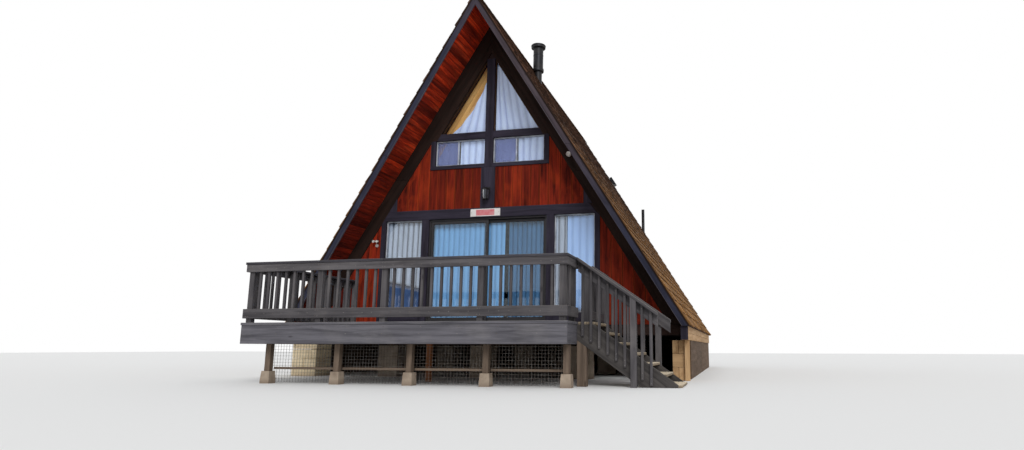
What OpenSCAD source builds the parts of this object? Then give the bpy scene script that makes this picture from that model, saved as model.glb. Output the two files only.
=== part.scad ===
// A-frame cabin: steep roof to the ground, gable front with windows and a sliding
// patio door, raised timber deck with guard rail, side stair on closed stringers.
// Z up, X along the front, Y into the house. The front wall's outer face is Y = 0.

/* [Roof] */
// height of the roof surface at the ridge
ridge_z = 7365; // [6500:5:8200]
// angle of each roof slope from the horizontal
roof_pitch = 58.4; // [54:0.1:62]
// height of the level cut at the foot of each slope
eave_z = 925; // [700:5:1200]
// thickness of the roof shell, square to the slope
roof_t = 95; // [70:1:160]
// how far the front edge stands out at the ridge
over_ridge = 1000; // [700:5:1300]
// how far the front edge line would stand out at the ground
over_foot = 550; // [300:5:800]
// distance from the front wall to the rear edge of the roof
roof_rear = 8620; // [7000:10:10000]
// depth of the barge board, square to the slope
barge_d = 151; // [120:1:240]
// thickness of the barge board
barge_t = 38; // [25:1:60]
// width of each ridge cap wing along the slope
cap_wing = 150; // [100:5:220]
// thickness of the ridge cap
cap_t = 14; // [8:1:30]

/* [House] */
// height of the finished floor above the ground
floor_z = 970; // [800:5:1200]
// thickness of the floor platform
floor_t = 180; // [120:5:300]
// thickness of the gable walls
wall_t = 140; // [100:5:220]
// outer face of the rear wall
rear_y = 8100; // [6500:10:9500]
// width of the raking trim, square to the slope
rake_w = 350; // [200:5:450]
// thickness of the trim boards on the walls
trim_t = 40; // [20:1:60]
// underside of the header board
head_z = 3066; // [2800:2:3300]
// height of the header board
head_h = 195; // [140:1:260]
// half width of the narrow king post
king_half = 86; // [60:1:130]
// half width of the king post board under the upper windows
king_wide = 147; // [80:1:200]

/* [Curtains] */
// hem of the curtains in the tall windows, above the ground
hem_z = 1900; // [1300:10:2900]
// inner edge of the curtains behind the patio door, from the middle
drape_in = 420; // [0:10:900]
// thickness of a hanging curtain with its folds
fold_d = 30; // [10:1:60]
// clearance between a curtain and the frame in front of it
curtain_gap = 8; // [2:1:30]

/* [Windows] */
// underside of the small sliding windows
slider_z0 = 4163; // [3900:1:4400]
// top of the small sliding windows
slider_z1 = 4689; // [4500:1:4900]
// outer side of the small sliding windows
slider_x = 1145; // [900:1:1300]
// underside of the triangular windows
tri_z = 4830; // [4700:1:5000]
// width of the sill board under the sliding windows
sill_h = 75; // [50:1:120]
// width of the upright trim beside the sliding windows
slider_trim = 105; // [60:1:160]
// inner side of the tall side windows
side_x0 = 1372; // [1300:1:1500]
// outer side of the tall side windows
side_x1 = 2161; // [1900:1:2400]
// underside of the tall side windows
side_z = 1200; // [1050:5:1500]
// width of the trim outside the tall side windows
side_trim = 100; // [60:1:180]
// face width of the light window frames
frame_w = 32; // [20:1:60]
// depth of the window frames
frame_d = 50; // [30:1:80]
// set-back of the window frames from the wall's face
frame_y = 12; // [0:1:50]
// thickness of the glass
glass_t = 8; // [4:1:20]

/* [Patio door] */
// half width of the door opening
door_half = 1220; // [900:1:1300]
// face width of the door's outer frame
jamb_w = 48; // [30:1:80]
// depth of one door panel
panel_d = 40; // [30:1:60]
// width of a door panel's stiles and top rail
stile_w = 57; // [40:1:100]
// height of a door panel's bottom rail
kick_h = 110; // [60:1:200]
// set-back of the fixed panel from the wall's face
panel_y = 18; // [10:1:60]
// clearance all round the moving panel
door_gap = 7; // [5:1:12]
// underside of the pull handle above the ground
handle_z = 1900; // [1700:5:2100]
// length of the pull handle
handle_l = 240; // [150:5:400]
// how far the pull handle stands out
handle_out = 40; // [30:1:60]

/* [Deck] */
// height of the deck surface
deck_z = 930; // [700:5:1200]
// front face of the rim board, in front of the wall
deck_d = 2985; // [2400:5:3600]
// left end of the deck
deck_x0 = 2840; // [2400:5:3200]
// right end of the deck
deck_x1 = 2400; // [2200:5:2800]
// thickness of planks
plank_t = 38; // [30:1:50]
// height of the rim board
rim_h = 286; // [200:1:320]
// height of the joists
joist_h = 190; // [140:1:240]
// distance from one joist to the next
joist_step = 597; // [380:1:620]
// distance from the rim's face back to the middle of the piers
pier_back = 285; // [150:5:500]
// distance from the left end of the deck to the first pier
pier_in = 330; // [150:5:500]
// distance from the right end of the deck to the last pier
pier_out = 70; // [50:5:300]
// foot width of a pier block
pier_w = 270; // [200:5:360]
// top width of a pier block
pier_top = 190; // [150:5:260]
// height of a pier block
pier_h = 190; // [150:5:300]
// side of the posts under the deck
post_w = 120; // [90:1:160]
// height of the beam under the joists
beam_h = 96; // [80:1:200]
// side of the bare post under the fifth joist
cedar_w = 108; // [80:1:140]
// distance of the bare post behind the piers
cedar_back = 410; // [200:5:900]
// side of the boxed pillar under the head of the stair
pillar_w = 140; // [100:5:200]

/* [Guard rail] */
// top of the rail cap above the deck
rail_top = 946; // [850:1:1100]
// width of the flat rail cap
cap_w = 140; // [90:1:160]
// height of the board under the cap
face_h = 115; // [80:1:140]
// height of the bottom rail board
foot_h = 146; // [90:1:180]
// gap between the deck and the bottom rail board
foot_gap = 66; // [40:1:100]
// side of the balusters
bal_w = 38; // [30:1:50]
// target distance between balusters
bal_step = 150; // [110:1:160]
// side of the rail posts
rail_post = 90; // [80:1:140]
// second rail post, from the left end of the deck
post_a = 1326; // [1000:2:1600]
// third rail post, from the left end of the deck
post_b = 2388; // [2100:2:2700]
// fourth rail post, from the left end of the deck
post_c = 3962; // [3500:2:4300]
// overhang of the rail cap past the boards
cap_lap = 12; // [0:1:25]

/* [Stair] */
// rise of one step
stair_rise = 148; // [130:1:190]
// going of one step
stair_run = 210; // [190:1:280]
// depth of a tread
tread_d = 262; // [230:1:300]
// nosing of the top tread beyond the deck
stair_start = 260; // [150:5:350]
// outer face of the front stringer, in front of the wall
stair_y0 = 2400; // [2000:5:2600]
// outer face of the rear stringer
stair_y1 = 1362; // [1000:2:1700]
// depth of a stringer, square to its slope
string_d = 335; // [240:1:400]
// how far the nosings stand above the stringer
nose_up = 40; // [0:1:60]
// height of the hand rail above the nosings
hand_up = 780; // [700:5:950]
// distance between stair balusters
stair_bal = 125; // [100:1:160]
// width of the stair's hand rails
hand_w = 140; // [100:1:160]
// height of the sloping board under the stair's hand rails
hand_face = 132; // [80:1:160]
// front stair post, from the end of the deck
stair_post_a = 845; // [600:5:1100]
// rear stair post, from the end of the deck
stair_post_b = 1070; // [600:5:1300]
// length of the front hand rail along the ground
hand_a = 1190; // [900:5:1400]
// length of the rear hand rail along the ground
hand_b = 1270; // [900:5:1400]

/* [Fittings] */
// radius of the chimney pipe
flue_r = 120; // [80:1:160]
// distance of the chimney from the front wall
flue_y = 2500; // [1500:10:4000]
// distance of the chimney from the ridge line
flue_x = 210; // [150:5:600]
// underside of the chimney cap above the ridge
flue_up = 355; // [200:5:700]
// radius of the chimney cap
flue_cap_r = 178; // [140:1:240]
// radius of the narrower pipe below the wide one
flue_low_r = 80; // [60:1:120]
// underside of the wide pipe below the ridge
flue_step = 55; // [0:5:150]
// height of the ring between the two pipes
flue_ring = 80; // [30:5:120]
// radius of the thin vent pipe
vent_r = 45; // [30:1:80]
// distance of the thin vent pipe from the rear edge of the roof
vent_back = 720; // [200:10:3000]
// distance of the thin vent pipe from the ridge line
vent_x = 2000; // [1000:10:3000]
// height of the thin vent pipe above the roof
vent_h = 660; // [300:5:900]
// side of the low roof vent
bump_w = 260; // [180:5:400]
// distance of the low roof vent from the rear edge of the roof
bump_back = 570; // [250:10:3000]
// distance of the low roof vent from the ridge line
bump_x = 1000; // [600:10:2000]
// underside of the lantern above the header's lower edge
lantern_up = 334; // [200:2:600]
// height of the lantern's glass
lantern_h = 200; // [120:5:300]
// radius of the lantern's glass
lantern_r = 80; // [50:1:120]
// length of the plate over the door
plate_l = 617; // [400:1:900]
// height of the plate over the door
plate_h = 165; // [100:1:190]
// middle of the plate, left of the middle of the wall
plate_x = 28; // [0:1:100]
// middle of the twin floodlight, left of the middle of the wall
flood_x = 2395; // [2300:5:2500]
// middle of the twin floodlight above the ground
flood_z = 2620; // [2000:5:2900]
// middle of the single floodlight, right of the middle
lamp_x = 1660; // [1400:5:2000]
// middle of the single floodlight above the ground
lamp_z = 4224; // [3500:2:4800]

/* [Supports] */
// distance of the side girders from the middle one
girder_x = 1900; // [1500:10:2400]
// width of a girder
girder_w = 140; // [100:5:200]
// height of a girder
girder_h = 200; // [150:5:300]
// side of a house pier
house_pier = 400; // [300:5:600]
// how far the front piers stand out under the wall
pier_proud = 140; // [50:5:300]
// width of the beam under each roof foot
side_beam_w = 130; // [100:5:200]
// height of the beam under each roof foot
side_beam_h = 235; // [150:5:300]
// set-back of that beam from the roof's edge
side_beam_in = 72; // [40:2:120]
// set-back of the stacked timbers from the outer face of the beam
crib_in = 90; // [40:5:200]
// width of the stacked timbers at the right corner
crib_w = 210; // [150:5:300]
// length of the stacked timbers
crib_l = 320; // [200:5:500]
// width of the block pier at the left corner
block_w = 530; // [300:5:700]
// length of the block pier at the left corner
block_l = 500; // [300:5:700]
// start of the first side panel behind the wall's face
panel_in = 1500; // [500:10:2500]
// length of one side panel
side_panel_l = 2200; // [1200:10:2600]
// thickness of a side panel
side_panel_t = 18; // [9:1:30]

/* [Hidden] */
half_angle = 90 - roof_pitch;
t = tan(half_angle);
prow = atan((over_ridge - over_foot) / ridge_z);
soffit_z = ridge_z - roof_t / sin(half_angle);
rake_in_z = soffit_z - rake_w / sin(half_angle);
rail_z = deck_z + rail_top;
eave_x = slope_x(ridge_z, eave_z);
face_z0 = rail_z - plank_t - face_h;
foot_z0 = deck_z + foot_gap;
joist_z = deck_z - plank_t - joist_h;
beam_z0 = joist_z - beam_h;
pier_y = deck_d - pier_back;
pier_x0 = deck_x0 - pier_in;
pier_step = (deck_x1 - pier_out + pier_x0) / 4;
joist_n = floor((deck_x0 + deck_x1 - 3 * plank_t) / joist_step);
rim_z = deck_z - plank_t - rim_h;
stair_slope = atan(stair_rise / stair_run);
steep = stair_rise / stair_run;
steps = 6;
nose_x = deck_x1 + stair_start;
string_top = deck_z - nose_up;
string_drop = string_d / cos(stair_slope);
hand_z = deck_z + hand_up;
hand_in = rail_post + cap_lap / 2;
newel_y = stair_y0 - rail_post;
back_y = stair_y1 + 18;
side_y0 = -deck_d + plank_t;
cap_in = cap_w - cap_lap - plank_t;
left_posts = row(rail_post / 2, -side_y0 - rail_post / 2, 3);
return_posts = [rail_post / 2, -side_y0 - newel_y - rail_post / 2];
back_posts = [rail_post / 2, back_y - rail_post / 2];
panel_x1 = door_half - jamb_w;
panel_z0 = floor_z + jamb_w;
panel_z1 = head_z - jamb_w;
moving_y = panel_y + panel_d + door_gap;
flue_z = ridge_z + flue_up;
lip = 300;
far = 12000;
eps = 0.01;

// piers, posts and beams of the house
girder_z0 = floor_z - floor_t - girder_h;
girder_xs = [-girder_x, 0, girder_x];
pier_rows = 3;
side_beam_x1 = round(eave_x) - side_beam_in;
side_beam_x0 = side_beam_x1 - side_beam_w;
side_beam_z = eave_z - side_beam_h;

wood_dark = [0.16, 0.14, 0.14];
wood_grey = [0.36, 0.33, 0.31];
wood_red = [0.40, 0.10, 0.05];
wood_tan = [0.62, 0.47, 0.32];
roof_brown = [0.35, 0.23, 0.16];
stone_grey = [0.55, 0.53, 0.50];
metal_light = [0.72, 0.72, 0.72];
metal_black = [0.05, 0.05, 0.06];
glass_blue = [0.55, 0.68, 0.80, 0.35];
cloth_white = [0.86, 0.86, 0.90];

function slope_x(apex, z) = (apex - z) * t;
function front_posts() = [plank_t + rail_post / 2, post_a, post_b, post_c,
    deck_x0 + deck_x1 - plank_t - rail_post / 2];
function row(a, b, n) = [for (i = [0:n]) a + (b - a) * i / n];

// a box from one corner to the other
module block(a, b) translate(a) cube([b[0] - a[0], b[1] - a[1], b[2] - a[2]]);

// a flat shape drawn in X and Z, given thickness from y0 to y1
module upright(y0, y1) translate([0, y1, 0]) rotate([90, 0, 0]) linear_extrude(y1 - y0) children();

module both() {
    children();
    mirror([1, 0, 0]) children();
}

// the half space in front of the leaning front edge of the roof
module prow_front(back) {
    translate([0, -over_foot + back, 0]) rotate([prow, 0, 0])
        translate([-far / 2, -far, -far / 4]) cube([far, far, far * 1.5]);
}

// a half of the A-shaped band between two parallel slopes, in X and Z
module band_half(outer, inner, low) {
    polygon([[0, outer], [slope_x(outer, low), low], [slope_x(inner, low), low], [0, inner]]);
}

module band(outer, inner, low) {
    band_half(outer, inner, low);
    mirror([1, 0]) band_half(outer, inner, low);
}

module roof_half() {
    difference() {
        upright(-over_ridge - lip, roof_rear - barge_t)
            band_half(ridge_z, soffit_z, eave_z);
        prow_front(barge_t);
    }
}

module roof_left() {
    color(roof_brown) mirror([1, 0, 0]) roof_half();
}

module roof_right() {
    color(roof_brown) roof_half();
}

module barges() {
    inner = ridge_z - barge_d / sin(half_angle);
    color(wood_dark) {
        intersection() {
            upright(-over_ridge - lip, 0) band(ridge_z, inner, eave_z);
            difference() {
                prow_front(barge_t);
                prow_front(0);
            }
        }
        upright(roof_rear - barge_t, roof_rear) band(ridge_z, inner, eave_z);
    }
}

// cross section of the ridge cap, a hair above the slopes
module cap_shape() {
    low = ridge_z - cap_wing * cos(half_angle);
    side = slope_x(ridge_z, low);
    translate([0, 5 * eps]) polygon([[0, ridge_z + cap_t / sin(half_angle)],
        [side + cap_t / cos(half_angle), low], [side, low], [0, ridge_z],
        [-side, low], [-side - cap_t / cos(half_angle), low]]);
}

module ridge_cap() {
    color(roof_brown) difference() {
        upright(-over_ridge - lip, roof_rear) cap_shape();
        prow_front(0);
    }
}

// outline of a gable wall above a level, in X and Z
module gable(low) {
    polygon([[-slope_x(soffit_z, low), low], [slope_x(soffit_z, low), low], [0, soffit_z]]);
}

module slider_hole(grow) {
    translate([king_half - grow, slider_z0 - grow])
        square([slider_x - king_half + 2 * grow, slider_z1 - slider_z0 + 2 * grow]);
}

module tri_hole() {
    polygon([[king_half, tri_z], [slope_x(rake_in_z, tri_z), tri_z],
        [king_half, rake_in_z - king_half / t]]);
}

module side_hole() {
    translate([side_x0, side_z]) square([side_x1 - side_x0, head_z - side_z]);
}

// the wall beside the patio door, right-hand one
module wall_beside() {
    upright(0, wall_t) difference() {
        polygon([[door_half, floor_z], [slope_x(soffit_z, floor_z), floor_z],
            [slope_x(soffit_z, head_z), head_z], [door_half, head_z]]);
        side_hole();
    }
}

module wall_left() {
    color(wood_red) mirror([1, 0, 0]) wall_beside();
}

module wall_right() {
    color(wood_red) wall_beside();
}

module wall_over() {
    color(wood_red) upright(0, wall_t) difference() {
        gable(head_z);
        slider_hole(0);
        tri_hole();
        mirror([1, 0]) slider_hole(0);
        mirror([1, 0]) tri_hole();
    }
}

module rear_wall() {
    color(wood_red) upright(rear_y - wall_t, rear_y) gable(floor_z);
}

module rake_band() {
    intersection() {
        band(soffit_z, rake_in_z, floor_z);
        translate([-far / 2, floor_z]) square([far, far]);
    }
}

module gable_trim() {
    color(wood_dark) {
        upright(-trim_t, 0) {
            rake_band();
            intersection() {
                gable(floor_z);
                union() {
                    translate([-far / 2, head_z]) square([far, head_h]);
                    translate([-slope_x(rake_in_z, tri_z) - lip, slider_z1])
                        square([2 * slope_x(rake_in_z, tri_z) + 2 * lip, tri_z - slider_z1]);
                    translate([-king_half, slider_z0 - sill_h])
                        square([2 * king_half, far]);
                    translate([-king_wide, head_z]) square([2 * king_wide, slider_z0 - head_z]);
                    translate([-slider_x - slider_trim, slider_z0 - sill_h])
                        square([2 * (slider_x + slider_trim), sill_h]);
                    both() translate([slider_x, slider_z0 - sill_h])
                        square([slider_trim, slider_z1 - slider_z0 + sill_h]);
                    both() translate([door_half, floor_z])
                        square([side_x0 - door_half, head_z - floor_z]);
                    both() translate([side_x1, floor_z]) square([side_trim, head_z - floor_z]);
                    both() translate([side_x0, floor_z]) square([side_x1 - side_x0, side_z - floor_z]);
                }
            }
        }
        upright(rear_y, rear_y + trim_t) {
            rake_band();
            intersection() {
                gable(floor_z);
                translate([-far / 2, floor_z]) square([far, head_h]);
            }
        }
    }
}

module ring(w) {
    difference() {
        children();
        offset(delta = -w) children();
    }
}

module window_frames() {
    color(metal_light) upright(frame_y, frame_y + frame_d) both() {
        ring(frame_w) side_hole();
        ring(frame_w) tri_hole();
        ring(frame_w) slider_hole(0);
        translate([(king_half + slider_x - frame_w) / 2, slider_z0 + frame_w])
            square([frame_w, slider_z1 - slider_z0 - 2 * frame_w]);
    }
}

module window_glass() {
    y = frame_y + (frame_d - glass_t) / 2;
    color(glass_blue) upright(y, y + glass_t) both() {
        offset(delta = -frame_w) side_hole();
        offset(delta = -frame_w) tri_hole();
        difference() {
            offset(delta = -frame_w) slider_hole(0);
            translate([(king_half + slider_x - frame_w) / 2, slider_z0])
                square([frame_w, slider_z1 - slider_z0]);
        }
    }
}

module door_frame() {
    color(wood_dark) difference() {
        block([-door_half, 0, floor_z], [door_half, wall_t - 10, head_z]);
        block([-panel_x1, -lip, panel_z0], [panel_x1, lip, panel_z1]);
    }
    color(wood_dark) difference() {
        block([-panel_x1 - eps, panel_y, panel_z0 - eps], [stile_w, panel_y + panel_d, panel_z1 + eps]);
        block([-panel_x1 + stile_w, -lip, panel_z0 + kick_h], [0, lip, panel_z1 - stile_w]);
    }
}

module door_panel() {
    color(wood_dark) difference() {
        block([-stile_w, moving_y, panel_z0 + door_gap],
            [panel_x1 - door_gap, moving_y + panel_d, panel_z1 - door_gap]);
        block([0, -lip, panel_z0 + kick_h],
            [panel_x1 - door_gap - stile_w, lip, panel_z1 - door_gap - stile_w]);
    }
    color(wood_dark) translate([panel_x1 - door_gap - stile_w / 2, moving_y, handle_z]) {
        block([-9, -handle_out, 0], [9, -handle_out + 12, handle_l]);
        for (z = [10, handle_l - 28]) block([-7, -handle_out + 6, z], [7, 1, z + 18]);
    }
}

module door_glass() {
    y = moving_y + (panel_d - glass_t) / 2;
    color(glass_blue) block([0, y, panel_z0 + kick_h],
        [panel_x1 - door_gap - stile_w, y + glass_t, panel_z1 - door_gap - stile_w]);
}

module floor() {
    color(wood_tan) block([-side_beam_x0, 0, floor_z - floor_t], [side_beam_x0, rear_y, floor_z]);
}

module side_beams() {
    color(wood_tan) both()
        block([side_beam_x0, -over_foot, eave_z - side_beam_h], [side_beam_x1, rear_y, eave_z]);
}

module girders() {
    color(wood_tan) for (x = girder_xs)
        block([x - girder_w / 2, 0, girder_z0], [x + girder_w / 2, rear_y, floor_z - floor_t]);
}

module house_piers() {
    half = house_pier / 2;
    color(stone_grey) for (x = girder_xs, i = [0:pier_rows]) {
        y = i * (rear_y - half) / pier_rows;
        block([x - half, i == 0 ? -pier_proud : y - half, 0], [x + half, y + half, girder_z0]);
    }
}

module crib_right() {
    x1 = side_beam_x1 - crib_in;
    color(wood_tan) {
        for (i = [0:2]) block([x1 - crib_w, 60 - crib_l, i * side_beam_z / 3],
            [x1, 60, (i + 1) * side_beam_z / 3 - (i < 2 ? 1 : 0)]);
        block([side_beam_x1 - post_w * 0.7, -crib_l - 20, 0],
            [side_beam_x1, -crib_l - 20 + post_w * 0.7, side_beam_z]);
    }
}

module crib_left() {
    color(stone_grey) block([-side_beam_x1, 200 - block_l, 0],
        [-side_beam_x1 + block_w, 200, side_beam_z]);
}

module skirt_panels() {
    color(wood_tan) both() {
        for (y = [panel_in, rear_y - panel_in / 2 - side_panel_l])
            block([side_beam_x1 - 2 * side_panel_t, y, 0],
                [side_beam_x1 - side_panel_t, y + side_panel_l, side_beam_z]);
        for (y = [rear_y / 2, rear_y - post_w])
            block([side_beam_x0, y, 0], [side_beam_x0 + post_w * 0.8, y + post_w * 0.8, side_beam_z]);
    }
}

module deck_piers() {
    color(stone_grey) for (i = [0:4]) translate([-pier_x0 + i * pier_step, -pier_y, 0])
        hull() {
            translate([-pier_w / 2, -pier_w / 2, 0]) cube([pier_w, pier_w, pier_h / 3]);
            translate([-pier_top / 2, -pier_top / 2, 0]) cube([pier_top, pier_top, pier_h]);
        }
}

module deck_posts() {
    cedar_x = -deck_x0 + plank_t + 5 * joist_step;
    color(wood_grey) {
        for (i = [0:4]) translate([-pier_x0 + i * pier_step - post_w / 2, -pier_y - post_w / 2, pier_h])
            cube([post_w, post_w, beam_z0 - pier_h]);
        translate([cedar_x - cedar_w / 2, -pier_y + cedar_back, 0]) cube([cedar_w, cedar_w, joist_z]);
        translate([nose_x - pillar_w, -stair_y0, 0])
            cube([pillar_w, pillar_w, string_top - string_drop]);
    }
}

module deck_beams() {
    color(wood_grey) {
        block([-deck_x0 + plank_t, -pier_y - 45, beam_z0], [deck_x1 - plank_t, -pier_y + 45, joist_z]);
        block([-deck_x0 + plank_t, -plank_t, joist_z], [deck_x1 - plank_t, 0, deck_z - plank_t]);
    }
}

module rim_front() {
    color(wood_grey)
        block([-deck_x0, -deck_d, rim_z], [deck_x1, -deck_d + plank_t, deck_z - plank_t]);
}

module rim_sides() {
    color(wood_grey) {
        block([-deck_x0, -deck_d + plank_t, rim_z], [-deck_x0 + plank_t, 0, deck_z - plank_t]);
        block([deck_x1 - plank_t, -deck_d + plank_t, rim_z], [deck_x1, 0, deck_z - plank_t]);
    }
}

module joists() {
    color(wood_grey) for (i = [1:joist_n]) {
        x = -deck_x0 + plank_t + i * joist_step;
        block([x - plank_t / 2, -deck_d + plank_t, joist_z],
            [x + plank_t / 2, -plank_t, deck_z - plank_t]);
    }
}

module deck_boards() {
    color(wood_grey)
        block([-deck_x0 - 8, -deck_d - 12, deck_z - plank_t], [deck_x1 + 8, 0, deck_z]);
}

// a run of guard rail along X with its outer face at y = 0; the cap starts later
module guard(length, cap_from, posts) {
    block([0, 0, foot_z0], [length, plank_t, foot_z0 + foot_h]);
    block([0, 0, face_z0], [length, plank_t, face_z0 + face_h]);
    block([cap_from, -cap_lap, rail_z - plank_t], [length, cap_w - cap_lap, rail_z]);
    for (i = [0:len(posts) - 2]) {
        gap = posts[i + 1] - posts[i];
        n = round(gap / bal_step);
        for (k = [1:n - 1]) translate([posts[i] + k * gap / n - bal_w / 2, plank_t, foot_z0 + 14])
            cube([bal_w, bal_w, rail_z - plank_t - foot_z0 - 14]);
    }
}

// posts of a run of guard rail, standing behind its boards
module guard_posts(posts) {
    for (x = posts) translate([x - rail_post / 2, plank_t, deck_z])
        cube([rail_post, rail_post, rail_z - plank_t - deck_z]);
}

module on_right(y0) translate([deck_x1, y0, 0]) rotate([0, 0, 90]) children();
module on_left(y0) mirror([1, 0, 0]) translate([deck_x0, y0, 0]) rotate([0, 0, 90]) children();

module rail_front() {
    color(wood_grey) translate([-deck_x0, -deck_d, 0])
        guard(deck_x0 + deck_x1, -cap_lap, front_posts());
}

module rail_sides() {
    color(wood_grey) {
        on_left(side_y0) guard(-side_y0, cap_in, left_posts);
        on_right(side_y0) guard(-side_y0 - newel_y, cap_in, return_posts);
        on_right(-back_y) guard(back_y, 0, back_posts);
    }
}

module rail_posts() {
    color(wood_grey) {
        translate([-deck_x0, -deck_d, 0]) guard_posts(front_posts());
        on_left(side_y0) guard_posts([for (i = [1:3]) left_posts[i]]);
        on_right(side_y0) guard_posts([return_posts[1]]);
        on_right(-back_y) guard_posts(back_posts);
    }
}

module mesh_skirt() {
    x0 = -pier_x0;
    x1 = -pier_x0 + 4 * pier_step;
    y = -pier_y + post_w / 2;
    half = pier_w / 2 + 6;
    color(metal_light) difference() {
        block([x0, y, 20], [x1, y + 8, beam_z0 - 5]);
        for (i = [0:4]) translate([-pier_x0 + i * pier_step, y, 0])
            block([-half, -lip, 0], [half, lip, pier_h + 6]);
    }
}

// stringer outline in X and Z
module stringer_shape() {
    head = deck_z - plank_t;
    toe = nose_x + string_top / steep - 60;
    polygon([[deck_x1, head], [nose_x - (head - string_top) / steep, head],
        [toe, 60 * steep], [toe, 0], [nose_x + (string_top - string_drop) / steep, 0],
        [deck_x1, string_top - string_drop + stair_start * steep]]);
}

module stringers() {
    color(wood_dark) {
        upright(-stair_y0, -stair_y0 + plank_t) stringer_shape();
        upright(-stair_y1 - plank_t, -stair_y1) stringer_shape();
    }
}

module treads() {
    color(wood_tan) for (k = [0:steps]) {
        x = nose_x + k * stair_run;
        z = deck_z - k * stair_rise;
        x_in = k == 0 ? deck_x1 + 8 : x - tread_d;
        block([x_in, -stair_y0 + plank_t, z - plank_t], [x, -stair_y1 - plank_t, z]);
    }
}

// top of the hand rail above a point of the stair
function hand_at(x) = hand_z - (x - nose_x) * steep;

// sloping hand rail with the board under it, in the stringer's plane, and balusters
// that lap over the outer faces of both; x_post is the post that replaces a baluster
module hand_rail(length, x_post) {
    x0 = deck_x1 + cap_lap;
    x1 = deck_x1 + length;
    thick = plank_t / cos(stair_slope);
    low = thick + hand_face / cos(stair_slope);
    upright(0, hand_w) polygon([[x0, hand_at(x0)], [x1, hand_at(x1)],
        [x1, hand_at(x1) - thick], [x0, hand_at(x0) - thick]]);
    upright(hand_in, hand_in + plank_t) polygon([[x0, hand_at(x0) - thick],
        [x1, hand_at(x1) - thick], [x1, hand_at(x1) - low], [x0, hand_at(x0) - low]]);
    for (x = [deck_x1 + rail_post:stair_bal:x1 - bal_w * 1.5]) if (abs(x - x_post) > rail_post - 10) {
        foot = max(hand_at(x) - hand_up - nose_up - string_drop + 120, 30);
        block([x - bal_w / 2, hand_in - bal_w, foot], [x + bal_w / 2, hand_in, hand_at(x) - plank_t]);
    }
}

module stair_rail_front() {
    color(wood_grey) translate([0, -stair_y0 - hand_in, 0]) hand_rail(hand_a, deck_x1 + stair_post_a);
}

module stair_rail_rear() {
    color(wood_grey) mirror([0, 1, 0]) translate([0, stair_y1 - hand_in, 0])
        hand_rail(hand_b, deck_x1 + stair_post_b);
}

// post against the outer face of a stringer, cut off under the hand rail
module stair_post(x) {
    half = rail_post / 2;
    down = plank_t / cos(stair_slope) + 10 * eps;
    upright(0, rail_post) polygon([[x - half, 0], [x + half, 0],
        [x + half, hand_at(x + half) - down], [x - half, hand_at(x - half) - down]]);
}

module stair_posts() {
    color(wood_grey) {
        translate([0, -stair_y0 - rail_post, 0]) stair_post(deck_x1 + stair_post_a);
        translate([0, -stair_y1, 0]) stair_post(deck_x1 + stair_post_b);
    }
}

module curtains_upper() {
    y = frame_y + frame_d + curtain_gap;
    color(cloth_white) upright(y, y + fold_d) both() {
        offset(delta = -curtain_gap) tri_hole();
        offset(delta = -curtain_gap) slider_hole(0);
    }
}

module curtains_lower() {
    y = frame_y + frame_d + curtain_gap;
    z = head_z - fold_d;
    color(cloth_white) both() {
        block([side_x0 + curtain_gap, y, hem_z], [side_x1 - curtain_gap, y + fold_d, z]);
        block([drape_in, wall_t + fold_d, floor_z + fold_d], [panel_x1, wall_t + 2 * fold_d, z]);
    }
}

module lantern() {
    z = head_z + lantern_up;
    y = -trim_t - lantern_r - curtain_gap;
    arm = 0.19 * lantern_r;
    color(metal_black) {
        block([-0.75 * lantern_r, -trim_t - 12, z + 0.7 * lantern_h],
            [0.75 * lantern_r, -trim_t, z + 1.35 * lantern_h]);
        translate([0, y, z]) cylinder(h = lantern_h, r1 = 0.7 * lantern_r, r2 = lantern_r, $fn = 6);
        translate([0, y, z + lantern_h])
            cylinder(h = 0.3 * lantern_h, r1 = 1.12 * lantern_r, r2 = arm, $fn = 6);
        block([-arm, y, z + 0.95 * lantern_h], [arm, -trim_t - 10, z + 1.05 * lantern_h]);
    }
}

module floodlights() {
    color(cloth_white) {
        translate([-flood_x, -trim_t, flood_z - 20]) rotate([90, 0, 0]) cylinder(h = 30, r = 50);
        for (x = [-60, 60]) translate([-flood_x + x, -trim_t - 20, flood_z + 20])
            rotate([100, 0, x / 6]) cylinder(h = 110, r1 = 30, r2 = 48);
        translate([lamp_x, -trim_t, lamp_z]) rotate([90, 0, 0]) cylinder(h = 90, r1 = 36, r2 = 48);
    }
}

module plate() {
    color(cloth_white) translate([-plate_x - plate_l / 2, -trim_t - 15, head_z + 20])
        cube([plate_l, 15, plate_h]);
}

module chimney() {
    base = ridge_z - (flue_x + flue_r) / t - 60;
    flashing = ridge_z - flue_x / t + flue_low_r;
    step_z = ridge_z - flue_step;
    color(metal_black) difference() {
        translate([flue_x, flue_y, 0]) {
            translate([0, 0, base]) cylinder(h = ridge_z - base, r = flue_low_r, $fn = 48);
            translate([0, 0, base]) cylinder(h = flashing - base, r = flue_r, $fn = 48);
            translate([0, 0, step_z - flue_ring])
                cylinder(h = flue_ring + 5, r = (flue_r + flue_low_r) / 2, $fn = 48);
            translate([0, 0, step_z]) cylinder(h = flue_z + 20 - step_z, r = flue_r, $fn = 48);
            translate([0, 0, flue_z]) cylinder(h = 70, r1 = flue_r, r2 = flue_cap_r, $fn = 48);
            translate([0, 0, flue_z + 70]) cylinder(h = 70, r = flue_cap_r, $fn = 48);
            translate([0, 0, flue_z + 140]) cylinder(h = 60, r1 = flue_cap_r, r2 = 40, $fn = 48);
        }
        upright(-lip, roof_rear) {
            band(ridge_z, soffit_z - lip, eave_z);
            cap_shape();
        }
    }
}

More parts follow.
